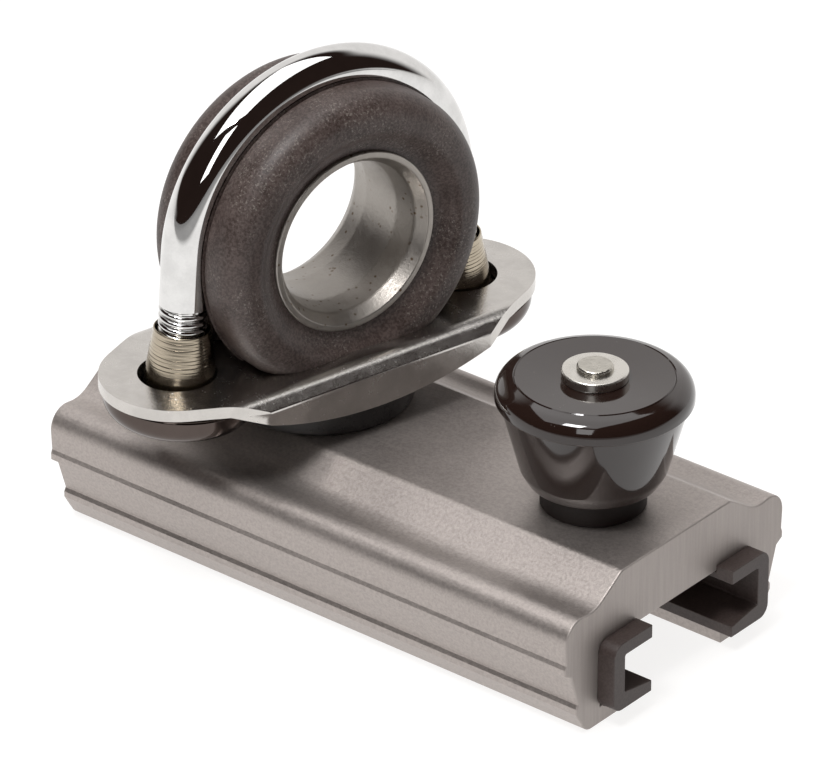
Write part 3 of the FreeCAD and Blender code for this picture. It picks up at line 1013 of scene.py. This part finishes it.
@dataclass
class SlideBody:
    """The anodised extrusion with its two slots."""

    plateau_half: float = 10.4
    valley: Corner = (15.4, 15.7, 4.5)
    shoulder_height: float = 16.4
    shoulder_round: float = 2.7
    upper_ridge: float = 9.7
    lower_ridge: float = 3.4
    ridge: float = 1.0
    ridge_depth: float = 0.3
    waist_inset: float = 1.2
    lower_inset: float = 2.4
    foot_inset: float = 4.2
    lip: float = 2.3
    lip_half: float = 9.0
    web: float = 10.55
    slot_half: float = 14.23
    end_round: float = 0.22
    pivot_bore: float = 3.03
    pin_bore: float = 3.05
    spigot_bore: float = 5.03
    spigot_depth: float = 6.0
    bore_steps: int = 64
    ridge_trim: float = 0.015

    def outline(self) -> list[Vector]:
        """The section's outline, across and up.

        Returns:
            The outline's points.
        """
        box = Extent.of("slide_body")
        half, top = box.size.y / 2 + self.ridge_trim, box.high.z
        waist, foot = half - self.waist_inset, half - self.lower_inset
        soft = self.ridge_depth / 3
        corners = [
            (self.plateau_half, top, 1.2),
            self.valley,
            (half, self.shoulder_height, self.shoulder_round),
            (half - self.ridge_depth, self.upper_ridge + self.ridge, soft),
            (half - self.ridge_depth / 4, self.upper_ridge + self.ridge / 2, soft),
            (half - self.ridge_depth / 4, self.upper_ridge - self.ridge / 3, soft),
            (waist, self.upper_ridge - self.ridge, soft * 2),
            (foot - self.ridge_depth / 2, self.lower_ridge + self.ridge, soft * 2),
            (foot + self.ridge_depth / 2, self.lower_ridge + self.ridge / 2, soft),
            (foot + self.ridge_depth / 2, self.lower_ridge - self.ridge / 4, soft),
            (foot - self.ridge_depth, self.lower_ridge - self.ridge, soft * 2),
            (half - self.foot_inset, 0.0, 1.6),
            (self.lip_half, 0.0, soft),
            (self.lip_half, self.lip, soft),
            (self.slot_half, self.lip),
            (self.slot_half, self.web),
        ]
        return rounded(mirrored(corners))

    def build(self, finish: Finish) -> None:
        """Make the extrusion with its three holes.

        Args:
            finish: The extrusion's finish.
        """
        box = Extent.of("slide_body")
        pivot = Extent.of("pivot_rivet").centre
        pin = Extent.of("plunger_pin").centre
        top = box.high.z
        half = box.size.x / 2
        body = Shape.prism("extrusion", self.outline(), -half, half, self.end_round)
        body.moved(LENGTHWISE)
        for spot, radius, floor in (
            (pivot, self.pivot_bore, 0.0),
            (pin, self.pin_bore, 0.0),
            (pin, self.spigot_bore, top - self.spigot_depth),
        ):
            bore = Shape.bar("bore", radius, floor, top + OVERSHOOT, self.bore_steps)
            body.cut(bore.moved(Matrix.Translation((spot.x, spot.y, 0.0))))
        body.piece("extruded_slide", Body.SLIDE, finish, Matrix.Identity(4), "slide_body")


@dataclass
class TrackLiners:
    """The four moulded liners that are pushed into the slots."""

    back: float = 14.2
    cavity: float = 12.8
    throat: float = 7.7
    low: float = 2.33
    floor: float = 4.6
    roof: float = 9.6
    top: float = 10.52
    tip_drop: float = 0.8
    flange: float = 2.5
    flange_rise: float = 0.85
    flange_side: float = 0.7
    insert: float = 34.0
    insert_end: float = 0.5
    flange_gap: float = 0.02
    corner: float = 1.6
    slot_corner: float = 0.4
    edge: float = 0.12

    def section(self, rise: float, side: float, corner: float) -> list[Vector]:
        """The C of a liner on the +y side.

        Args:
            rise: How far its roof is let out.
            side: How far its back is let out.
            corner: Radius at its two outer corners.

        Returns:
            The outline's points.
        """
        back, top = self.back + side, self.top + rise
        nose = self.edge
        return rounded([
            (self.throat, self.low, nose),
            (back, self.low, corner),
            (back, top, corner),
            (self.throat, top, nose),
            (self.throat, self.roof, nose),
            (self.cavity, self.roof, nose * 2),
            (self.cavity, self.floor, nose * 2),
            (self.throat, self.floor - self.tip_drop, nose),
        ], 15.0)

    def build(self, finish: Finish) -> None:
        """Make the four liners from the same two sections.

        Args:
            finish: The liners' finish.
        """
        face = Extent.of("slide_body").size.x / 2
        plain = self.section(0.0, 0.0, self.slot_corner)
        wide = self.section(self.flange_rise, self.flange_side, self.corner)
        for end, end_name in ((1, "front"), (-1, "rear")):
            for side, side_name in ((1, "left"), (-1, "right")):
                liner = Shape.prism("insert", plain, face - self.insert, face + self.insert_end)
                flange = Shape.prism(
                    "flange", wide, face + self.flange_gap, face + self.flange, self.edge
                )
                liner.join(flange).moved(Matrix.Diagonal((end, side, 1, 1)) @ LENGTHWISE)
                if end * side < 0:
                    liner.thing.data.flip_normals()
                name = f"{end_name}_{side_name}"
                liner.piece(f"liner_{name}", Body.SLIDE, finish, Matrix.Identity(4), f"track_liner_{name}")


def swivel_axes(height: float = 0.0) -> Matrix:
    """Where the swivel's own axes stand at rest: X along the bullseye's bore and Z up the pivot.

    Args:
        height: How high the axes stand, in millimetres.

    Returns:
        The placement, in millimetres.
    """
    bore = next(mount for mount in frame["record"]["mounts"] if mount["name"] == "bullseye_bore")
    spot = Vector(bore["pos_m"]) / MM
    along = -Vector(bore["axis"])
    turn = Matrix.Rotation(math.atan2(along.y, along.x), 4, "Z")
    return Matrix.Translation((spot.x, spot.y, height)) @ turn


@dataclass
class Swivel:
    """The moulded disc, the pressed plate on it and the rivet through both."""

    plate_half: float = 12.8
    flat_half: float = 11.0
    tip: float = 30.29
    tip_round: float = 9.5
    taper: float = 26.0
    thickness: float = 1.5
    facet_drop: float = 1.3
    apron_drop: float = 4.35
    apron_curve: float = 52.0
    apron_rise: float = 19.5
    hole_radius: float = 4.8
    hole_place: float = 20.864
    rim_round: float = 0.28
    hole_steps: int = 96
    disc_radius: float = 11.5
    disc_rim: float = 3.2
    neck_radius: float = 8.0
    neck_rise: float = 3.84
    rivet_bore: float = 3.05
    sheet_gap: float = 0.02
    far: float = 60.0

    def build(self, steel: Finish, plastic: Finish, rivet: Finish) -> None:
        """Make the plate and the disc, and dress the hidden rivet.

        Args:
            steel: The plate's finish.
            plastic: The disc's finish.
            rivet: The rivet's and its washer's finish.
        """
        self.plate(steel)
        base = Extent.of("swivel_disc")
        low, high = base.low.z, base.high.z
        outline = rounded([
            (self.rivet_bore, low),
            (self.disc_radius, low, 0.4),
            (self.disc_radius, low + self.disc_rim, 0.8),
            (self.neck_radius, low + self.neck_rise, 0.8),
            (self.neck_radius, high),
            (self.rivet_bore, high),
        ])
        disc = Shape.lathe("disc", outline)
        disc.piece("turned_disc", Body.SWIVEL, plastic, swivel_axes(), "swivel_disc")
        paint_node("pivot_rivet", rivet)
        paint_node("pivot_washer", rivet)

    def plate(self, finish: Finish) -> None:
        """Make the pressed plate: a folded section cut to its outline and its aprons' arcs.

        Args:
            finish: The plate's finish.
        """
        top = Extent.of("saddle_plate").high.z
        under = top - self.thickness
        crease = top - self.facet_drop
        hem = crease - self.apron_drop
        inner = self.plate_half - self.thickness
        section = rounded(mirrored([
            (self.flat_half, top, 3.0),
            (self.plate_half, crease, 0.45),
            (self.plate_half, hem),
            (inner, hem),
            (inner, under - self.facet_drop, 0.2),
            (self.flat_half, under, 1.5),
        ]), 4.0)
        plate = Shape.prism("plate", section, -self.tip, self.tip).moved(UPRIGHT)
        taper = math.radians(self.taper)
        apex = self.tip + self.tip_round * (1 / math.sin(taper) - 1)
        wide = self.plate_half + OVERSHOOT / 2
        shoulder = apex - wide / math.tan(taper)
        plan = rounded([
            (wide, -shoulder),
            (wide, shoulder),
            (0.0, apex, self.tip_round),
            (-wide, shoulder),
            (-wide, -shoulder),
            (0.0, -apex, self.tip_round),
        ], 3.0)
        plate.meet(Shape.prism("plan", plan, hem - OVERSHOOT, top + OVERSHOOT))
        rise = math.radians(self.apron_rise)
        dip = hem - self.apron_curve * (1 / math.cos(rise) - 1)
        level = under - self.sheet_gap
        reach = (level - dip) / math.tan(rise)
        below = rounded([
            (0.0, dip, self.apron_curve),
            (-reach, level),
            (-self.far, level),
            (-self.far, dip - self.far),
            (self.far, dip - self.far),
            (self.far, level),
            (reach, level),
        ], 1.5)
        plate.cut(Shape.prism("below", below, -self.far, self.far).moved(LENGTHWISE))
        for spot, radius in (
            (-self.hole_place, self.hole_radius),
            (0.0, self.rivet_bore),
            (self.hole_place, self.hole_radius),
        ):
            hole = Shape.bar("hole", radius, hem, top + OVERSHOOT, self.hole_steps)
            plate.cut(hole.moved(Matrix.Translation((0.0, spot, 0.0))))
        plate.bevel(self.rim_round, 3, 50.0)
        plate.piece("pressed_plate", Body.SWIVEL, finish, swivel_axes(), "saddle_plate")


@dataclass
class BoltAndNuts:
    """The bent rod with its threads, and the two domed sleeve nuts."""

    rod: float = 3.0
    polish: float = 0.015
    bow: float = 19.35
    splay: float = 4.1
    plate_thickness: float = 1.5
    thread_top: float = 37.4
    thread_pitch: float = 0.95
    thread_turns: float = 5.0
    thread_depth: float = 0.42
    thread_wire: float = 0.4
    run_out: float = 0.3
    leg_end: float = 25.2
    leg_point: float = 0.5
    leg_taper: float = 0.8
    rod_sides: int = 72
    bow_steps: int = 72
    head: float = 9.2
    head_height: float = 3.6
    head_round: float = 2.6
    sleeve_height: float = 5.9
    sleeve_top: float = 3.475
    sleeve_root: float = 4.275
    sunk: float = 1.0
    step: float = 0.4
    step_gap: float = 0.1
    ring_marks: int = 11
    ring_depth: float = 0.014
    ring_span: Span = (0.14, 0.94)
    ring_rims: tuple[float, ...] = (-0.12, -0.04, 0.04, 0.12)
    socket: float = 4.04
    socket_depth: float = 1.6

    def build(self, sweep: Sweep, chrome: Finish, nickel: Finish, dome: Finish) -> None:
        """Make the bolt and the nuts.

        Args:
            sweep: Makes the rod and the threads.
            chrome: The bolt's finish.
            nickel: The finish of the nuts' sleeves.
            dome: The finish of the nuts' heads.
        """
        bolt = sweep.rod(self.route(), self.rod - self.polish, self.rod_sides, chrome)
        bolt.piece("bent_bolt", Body.SWIVEL, chrome, swivel_axes(), "u_bolt")
        core = self.rod - self.thread_depth
        length = self.thread_turns * self.thread_pitch
        for side, name in ((-1, "left"), (1, "right")):
            self.nut(side, name, nickel, dome)
            thread = sweep.coil(core, length, self.thread_turns, self.thread_wire, chrome)
            place = self.leg_axes(self.thread_top - length, side)
            thread.piece(f"bolt_thread_{name}", Body.SWIVEL, chrome, place)

    @property
    def lean(self) -> float:
        """How far a leg leans out, in radians."""
        return math.radians(self.splay)

    def on_bow(self, angle: float) -> Vector:
        """The point of the rod's bow at an angle, on the swivel's own axes."""
        middle = Vector((0.0, 0.0, Extent.of("bullseye_ferrule").centre.z))
        return middle + Vector((0.0, math.cos(angle), math.sin(angle))) * self.bow

    def on_leg(self, height: float) -> Vector:
        """The point of the +y leg's axis at a height, on the swivel's own axes."""
        start = self.on_bow(self.lean)
        down = Vector((0.0, math.sin(self.lean), -math.cos(self.lean)))
        return start + down * ((start.z - height) / math.cos(self.lean))

    def leg_axes(self, height: float, side: int) -> Matrix:
        """Axes that stand on a leg at a height, with Z up the leg.

        Args:
            height: How high they stand, in millimetres.
            side: 1 for the +y leg and -1 for the other.

        Returns:
            The placement, in millimetres.
        """
        spot = self.on_leg(height)
        spot.y *= side
        return swivel_axes() @ Matrix.Translation(spot) @ Matrix.Rotation(side * self.lean, 4, "X")

    def route(self) -> list[tuple[Vector, float]]:
        """The rod's path, from one leg's end round the bow to the other's.

        Returns:
            Points of the path, each with its share of the full radius.
        """
        root = (self.rod - self.thread_depth) / self.rod
        leg = [
            (self.on_leg(self.leg_end), root * self.leg_taper),
            (self.on_leg(self.leg_end + self.leg_point), root),
            (self.on_leg(self.thread_top - self.run_out), root),
            (self.on_leg(self.thread_top), 1.0),
            (self.on_leg(self.thread_top + self.run_out), 1.0),
        ]
        turn = (math.pi - 2 * self.lean) / self.bow_steps
        bow = [(self.on_bow(self.lean + turn * k), 1.0) for k in range(self.bow_steps + 1)]
        far = [(Vector((p.x, -p.y, p.z)), share) for p, share in reversed(leg)]
        return leg + bow + far

    def turned_marks(self) -> list[Corner]:
        """Fine grooves that the turning tool left round the sleeve, closer together higher up.

        Returns:
            Corners of the sleeve's outline, from the plate up.
        """
        corners = []
        first, last = self.ring_span
        for k in range(self.ring_marks):
            share = first + (last - first) * (k / (self.ring_marks - 1)) ** 0.8
            height = self.plate_thickness + share * self.sleeve_height
            radius = self.sleeve_root + share * (self.sleeve_top - self.sleeve_root)
            # One groove is deeper than the next, in no plain order.
            depth = self.ring_depth * (0.6 + 0.8 * ((k * 7) % 5) / 5)
            rims = [(radius, height + rise) for rise in self.ring_rims]
            corners += [*rims[:2], (radius - depth, height), *rims[2:]]
        return corners

    def nut(self, side: int, name: str, nickel: Finish, dome: Finish) -> None:
        """Make one nut: a tapered sleeve and a domed head with a hexagonal socket.

        Args:
            side: 1 on the +y side of the swivel and -1 on the other.
            name: Which nut it is.
            nickel: The sleeve's finish.
            dome: The head's finish.
        """
        place = self.leg_axes(Extent.of("saddle_plate").high.z - self.plate_thickness, side)
        seat = -(self.head * math.tan(self.lean) + PLAY)
        bottom = seat - self.head_height
        top = self.plate_thickness + self.sleeve_height
        bore = self.rod + PLAY
        root = self.sleeve_root
        sleeve = Shape.lathe("sleeve", rounded([
            (bore, seat - self.sunk),
            (root - self.step / 2, seat - self.sunk),
            (root, seat),
            (root, self.plate_thickness + 0.05),
            *self.turned_marks(),
            (self.sleeve_top, top, 0.12),
            (bore + 0.3, top, 0.06),
            (bore, top - 0.5),
        ]))
        head = Shape.lathe("head", rounded([
            (bore, bottom, 0.05),
            (self.head, bottom, self.head_round),
            (self.head, seat, 0.42),
            (root - self.step, seat),
            (root - self.step, seat - self.sunk + self.step_gap),
            (bore, seat - self.sunk + self.step_gap),
        ]))
        angles = [math.radians(60 * k) for k in range(6)]
        hexagon = [Vector((math.cos(angle), math.sin(angle))) * self.socket for angle in angles]
        head.cut(Shape.prism("socket", hexagon, bottom - OVERSHOOT, bottom + self.socket_depth))
        head.bevel(0.1, 2, 50.0)
        head.piece(f"nut_dome_{name}", Body.SWIVEL, dome, place, f"sleeve_nut_{name}")
        sleeve.piece(f"nut_sleeve_{name}", Body.SWIVEL, nickel, place)


@dataclass
class Bullseye:
    """The grooved ring and the ferrule that lines it."""

    rise: float = 14.1
    ring: float = 19.0
    half_width: float = 8.8
    seat_half: float = 7.0
    edge_round: float = 3.2
    face_round: float = 2.4
    groove: float = 3.1
    bow: float = 19.35
    foot_half: float = 11.5
    foot_rise: float = 7.0
    recess: float = 5.5
    recess_depth: float = 1.8
    land_half: float = 3.0
    bore: float = 9.25
    flare: float = 1.5
    wall: float = 1.65
    rim: float = 11.6
    rim_thickness: float = 0.5
    rim_gap: float = 0.3
    soft_edge: float = 0.7
    steps: int = 144
    hollow_steps: int = 64
    far: float = 60.0

    def build(self, moulding: Finish, steel: Finish) -> None:
        """Make the ring and the ferrule.

        Args:
            moulding: The ring's finish.
            steel: The ferrule's finish.
        """
        centre = Extent.of("bullseye_ferrule").centre.z
        over = Matrix.Rotation(math.radians(90), 4, "Y")
        hole = self.bore + self.wall + PLAY
        section = [
            (self.bow - self.groove, self.groove, self.groove * 0.97),
            (self.ring, self.groove, 0.4),
            (self.ring, self.half_width, self.edge_round),
            (self.ring - self.edge_round - self.face_round / 2, self.half_width, self.face_round),
            (self.rim + self.rim_gap, self.seat_half),
            (hole, self.seat_half, 0.1),
        ]
        ring = Shape.lathe("ring", rounded(both_faces(section), 6.0), self.steps).moved(over)
        slope = self.foot_rise / (2 * self.ring - self.foot_half)
        foot = rounded(mirrored([
            (self.foot_half, -self.rise, self.face_round * 2),
            (self.far, -self.rise + slope * (self.far - self.foot_half)),
            (self.far, -self.far),
        ]), 4.0)
        ring.cut(Shape.prism("below", foot, -self.far, self.far).moved(LENGTHWISE))
        low, high = -self.rise - OVERSHOOT, -self.rise + self.recess_depth
        ring.cut(Shape.bar("hollow", self.recess, low, high, self.hollow_steps))
        ring.bevel(self.soft_edge, 4, 40.0)
        ring.piece("grooved_ring", Body.SWIVEL, moulding, swivel_axes(centre), "bullseye_ring")
        mouth = self.seat_half + self.rim_thickness
        lip = self.rim_thickness * 0.45
        section = [
            (self.bore, self.land_half, self.bore / 3),
            (self.bore + self.flare / 3, self.land_half * 2, self.bore / 6),
            (self.bore + self.flare, mouth, lip),
            (self.rim, mouth, lip),
            (self.rim, self.seat_half + 0.01),
            (self.bore + self.wall, self.seat_half + 0.01),
        ]
        ferrule = Shape.lathe("ferrule", rounded(both_faces(section), 6.0), self.steps)
        place = swivel_axes(centre) @ over
        ferrule.piece("steel_ferrule", Body.SWIVEL, steel, place, "bullseye_ferrule")


@dataclass
class Plunger:
    """The collar in the body, and the sprung pin with its knob and washer."""

    collar: float = 6.35
    collar_height: float = 2.9
    spigot: float = 5.0
    spigot_depth: float = 6.0
    tower: float = 4.8
    tower_height: float = 14.0
    chamber: float = 3.7
    chamber_top: float = 12.6
    stem: float = 1.9
    knob_base_rise: float = 3.2
    knob_base: float = 7.8
    knob_waist: float = 8.8
    knob_waist_rise: float = 4.9
    knob_neck: float = 11.2
    knob_neck_rise: float = 13.8
    knob_lip: float = 0.2
    knob_widest: float = 11.8
    knob_crown_drop: float = 0.7
    knob_crest: float = 9.5
    knob_crease: float = 0.13
    knob_rise: float = 16.95
    knob_dish: float = 0.25
    knob_crown: float = 2.2
    washer: float = 4.0
    washer_thickness: float = 1.2
    guide_play: float = 0.05
    knob_play: float = 0.4
    knob_steps: int = 160
    ceiling: float = 14.3
    wire: float = 0.4
    turns: float = 3.0

    def build(
        self, sweep: Sweep, gloss: Finish, black: Finish, steel: Finish, worn: Finish, wire: Finish
    ) -> None:
        """Make the plunger's pieces.

        Args:
            sweep: Winds the spring.
            gloss: The knob's finish.
            black: The collar's finish.
            steel: The pin's finish.
            worn: The washer's finish.
            wire: The spring's finish.
        """
        base = Extent.of("slide_body").high.z
        axis = Extent.of("plunger_pin").centre
        place = Matrix.Translation((axis.x, axis.y, base))
        guide, hole = self.stem + self.guide_play, self.stem + PLAY
        Shape.lathe("collar", rounded([
            (self.chamber, -self.spigot_depth),
            (self.spigot, -self.spigot_depth),
            (self.spigot, 0.0),
            (self.collar, 0.0, 0.25),
            (self.collar, self.collar_height, 0.35),
            (self.tower, self.collar_height),
            (self.tower, self.tower_height, 0.3),
            (guide, self.tower_height),
            (guide, self.chamber_top),
            (self.chamber, self.chamber_top),
        ])).piece("threaded_collar", Body.SLIDE, black, place, "plunger_collar")
        top = self.knob_rise - self.knob_dish
        bore = self.tower + self.knob_play
        Shape.lathe("knob", rounded([
            (bore, self.knob_base_rise, 0.2),
            (self.knob_base, self.knob_base_rise, 0.8),
            (self.knob_waist, self.knob_waist_rise, 3.0),
            (self.knob_neck, self.knob_neck_rise, 0.08),
            (self.knob_widest, self.knob_neck_rise + self.knob_lip, 0.3),
            (self.knob_widest, self.knob_rise - self.knob_crown_drop, self.knob_crown),
            (self.knob_crest + self.knob_crease, self.knob_rise - self.knob_crease / 4),
            (self.knob_crest, self.knob_rise - self.knob_crease),
            (self.knob_crest - self.knob_crease, self.knob_rise),
            (self.washer + 0.3, top, 0.3),
            (hole, top),
            (hole, self.ceiling),
            (bore, self.ceiling, 0.4),
        ], 5.0), self.knob_steps).piece("round_knob", Body.PLUNGER, gloss, place, "plunger_knob")
        Shape.lathe("washer", rounded([
            (hole, top),
            (self.washer, top, 0.2),
            (self.washer, top + self.washer_thickness, 0.22),
            (hole, top + self.washer_thickness),
        ])).piece("flat_washer", Body.PLUNGER, worn, place, "knob_washer")
        paint_node("plunger_pin", steel)
        self.spring(sweep, wire)

    def spring(self, sweep: Sweep, finish: Finish) -> None:
        """Wind the spring at its rest length. The plunger's lift, which shortens it towards the collar's
        ceiling, is read but not applied.

        Args:
            sweep: Winds it.
            finish: Its finish.
        """
        box = Extent.of("plunger_spring")
        coil = box.size.x / 2 - self.wire
        height = box.size.z - 2 * self.wire
        axis = Extent.of("plunger_pin").centre
        foot = Matrix.Translation((axis.x, axis.y, box.low.z + self.wire))
        shape = sweep.coil(coil, height, self.turns, self.wire, finish)
        thing = shape.piece("wound_spring", Body.SLIDE, finish, foot, "plunger_spring")
        joints = {joint["name"]: joint for joint in frame["record"]["behaviour"]["joints"]}
        lift = joints["plunger_lift"]["range_m"][1] / MM
        1 - lift / box.size.z
        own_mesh(thing)


@dataclass(frozen=True)
class Softbox:
    """A soft lamp, by the direction that it stands in and how brightly its face glows."""

    name: str
    towards: tuple[float, float, float]
    distance: float
    size: tuple[float, float]
    glow: float


LAMPS = (
    Softbox("top_softbox", (-0.13, -0.03, 1.0), 0.86, (1.08, 0.84), 1.8),
    Softbox("top_lamp", (0.04, -0.44, 0.9), 0.8, (0.22, 0.18), 29.0),
    Softbox("front_softbox", (0.38, -0.72, 0.56), 1.1, (0.3, 0.58), 2.75),
)


@dataclass
class Studio:
    """The floor, the soft lamps, the sky and the camera. Distances are in metres, but for the camera's."""

    eye: tuple[float, float, float] = (475.9, -577.9, 443.8)
    aim: tuple[float, float, float] = (-5.67, 6.96, 20.0)
    lens: float = 312.45
    sensor: float = 36.0
    clip: Span = (0.01, 20.0)
    lamps_aim: float = 0.03
    floor_half: float = 4.0
    paper: Colour = (0.2, 0.2, 0.2)
    backdrop: Colour = (0.95, 0.931, 0.917)
    backdrop_turn: float = -8.0
    backdrop_sides: Span = (0.3, 0.66)
    backdrop_top: Span = (0.76, 0.6)
    horizon: Span = (0.08, 0.0)
    horizon_sides: Span = (-0.5, 0.1)
    horizon_share: float = 0.9
    room: Colour = (0.021, 0.013, 0.011)

    def build(self) -> None:
        """Make everything that isn't the object."""
        self.floor()
        self.sky()
        for lamp in LAMPS:
            self.lamp(lamp)
        self.camera()

    def floor(self) -> None:
        """A plain pale floor."""
        half = self.floor_half
        mesh = bpy.data.meshes.new("floor")
        corners = [(-half, -half, 0.0), (half, -half, 0.0), (half, half, 0.0), (-half, half, 0.0)]
        mesh.from_pydata(corners, [], [(0, 1, 2, 3)])
        thing = bpy.data.objects.new("floor", mesh)
        bpy.context.scene.collection.objects.link(thing)
        mesh.materials.append(PaleFloor("pale_floor", self.paper, tuple(self.forward())).material())

    def forward(self) -> Vector:
        """The level direction from the object towards the camera."""
        return Vector((self.eye[0], self.eye[1], 0.0)).normalized()

    def sky(self) -> None:
        """A white backdrop behind the object, and a dim room overhead and round the camera."""
        scene = bpy.context.scene
        scene.world = bpy.data.worlds.new("pale_room")
        scene.world.use_nodes = True
        graph = Graph(scene.world.node_tree)
        way = graph.node("ShaderNodeTexCoord", output="Generated")
        _, _, up = graph.parts(way)
        away = Matrix.Rotation(math.radians(self.backdrop_turn), 3, "Z") @ -self.forward()
        behind = graph.along(way, tuple(away))
        low = up.ramp(*self.horizon) * behind.ramp(*self.horizon_sides) * self.horizon_share
        share = (behind.ramp(*self.backdrop_sides) * up.ramp(*self.backdrop_top)).most(low)
        light = graph.mixed(self.room, self.backdrop, share)
        graph.end("ShaderNodeOutputWorld", graph.node("ShaderNodeBackground", {}, {0: light}))

    def lamp(self, softbox: Softbox) -> None:
        """Hang a softbox that faces the object.

        Args:
            softbox: The lamp.
        """
        data = bpy.data.lights.new(softbox.name, "AREA")
        data.shape = "RECTANGLE"
        data.size, data.size_y = softbox.size
        data.energy = softbox.glow * math.pi * softbox.size[0] * softbox.size[1]
        thing = bpy.data.objects.new(softbox.name, data)
        bpy.context.scene.collection.objects.link(thing)
        way = Vector(softbox.towards).normalized()
        thing.location = Vector((0.0, 0.0, self.lamps_aim)) + way * softbox.distance
        thing.rotation_mode = "QUATERNION"
        thing.rotation_quaternion = (-way).to_track_quat("-Z", "Y")

    def camera(self) -> None:
        """The camera, at the photograph's angle."""
        scene = bpy.context.scene
        data = bpy.data.cameras.new("camera")
        data.lens = self.lens
        data.sensor_width = self.sensor
        data.clip_start, data.clip_end = self.clip
        thing = bpy.data.objects.new("camera", data)
        scene.collection.objects.link(thing)
        eye, aim = Vector(self.eye) * MM, Vector(self.aim) * MM
        thing.location = eye
        thing.rotation_mode = "QUATERNION"
        thing.rotation_quaternion = (aim - eye).to_track_quat("-Z", "Y")
        scene.camera = thing
        scene.view_settings.view_transform = "Standard"
        scene.cycles.use_denoising = True


def main() -> None:
    """Build the pieces in order, then the studio."""
    logging.basicConfig(level=logging.INFO, format="%(name)s: %(message)s")
    half = Extent.of("slide_body").size.x / 2
    steel = (0.63, 0.605, 0.575)
    sweep = Sweep()
    SlideBody().build(Anodised("satin_anodising", (0.435, 0.391, 0.368), (0.395, 0.355, 0.334), half))
    TrackLiners().build(Moulding(
        "black_liner_moulding", (0.034, 0.022, 0.019), (0.062, 0.045, 0.041),
        roughness=0.5, pit_depth=0.008, pit_size=0.3,
    ))
    Swivel().build(
        Metal("polished_plate", steel, roughness=0.24, spread=0.14, grain_depth=0.014, grain_pitch=0.4),
        Moulding(
            "black_disc", (0.012, 0.011, 0.011), (0.02, 0.018, 0.017),
            roughness=0.3, pit_depth=0.004, pit_size=0.3,
        ),
        Metal("turned_rivet", steel, roughness=0.3, spread=0.1),
    )
    BoltAndNuts().build(
        sweep,
        Metal(
            "mirror_chrome", (0.76, 0.755, 0.745),
            roughness=0.035, spread=0.02, grain_depth=0.0006, grain_pitch=0.3,
        ),
        Metal(
            "turned_nickel", (0.46, 0.4, 0.31),
            roughness=0.17, grain=Grain.ROUND, grain_depth=0.01, grain_pitch=0.2,
        ),
        Metal("dark_dome", (0.1, 0.08, 0.072), roughness=0.1, spread=0.06, grain_depth=0.001),
    )
    Bullseye().build(
        Moulding(
            "sanded_moulding", (0.03, 0.018, 0.015), (0.1, 0.074, 0.067),
            roughness=0.46, pit_depth=0.035, pit_size=0.32, fleck_share=0.25, grit_share=0.5, gloss=0.45,
        ),
        Metal(
            "blasted_steel", (0.4, 0.372, 0.342),
            roughness=0.42, spread=0.24, grain_depth=0.03, grain_pitch=0.4,
            stain=(0.12, 0.075, 0.04), stain_share=0.9, stain_size=0.3,
        ),
    )
    Plunger().build(
        sweep,
        Gloss("gloss_black", (0.017, 0.009, 0.007)),
        Moulding(
            "collar_black", (0.007, 0.003, 0.002), (0.012, 0.007, 0.006),
            roughness=0.5, pit_depth=0.006, pit_size=0.3, gloss=0.3,
        ),
        Metal(
            "hammered_pin", (0.56, 0.535, 0.48),
            roughness=0.24, spread=0.16, grain_depth=0.12, grain_pitch=0.9,
            stain=(0.4, 0.28, 0.12), stain_share=0.8,
        ),
        Metal(
            "worn_washer", (0.74, 0.715, 0.665),
            roughness=0.28, spread=0.14, grain_depth=0.01, grain_pitch=0.3,
        ),
        Metal("spring_wire", (0.5, 0.49, 0.47), roughness=0.3, spread=0.1),
    )
    Studio().build()


if __name__ == "__main__":
    main()
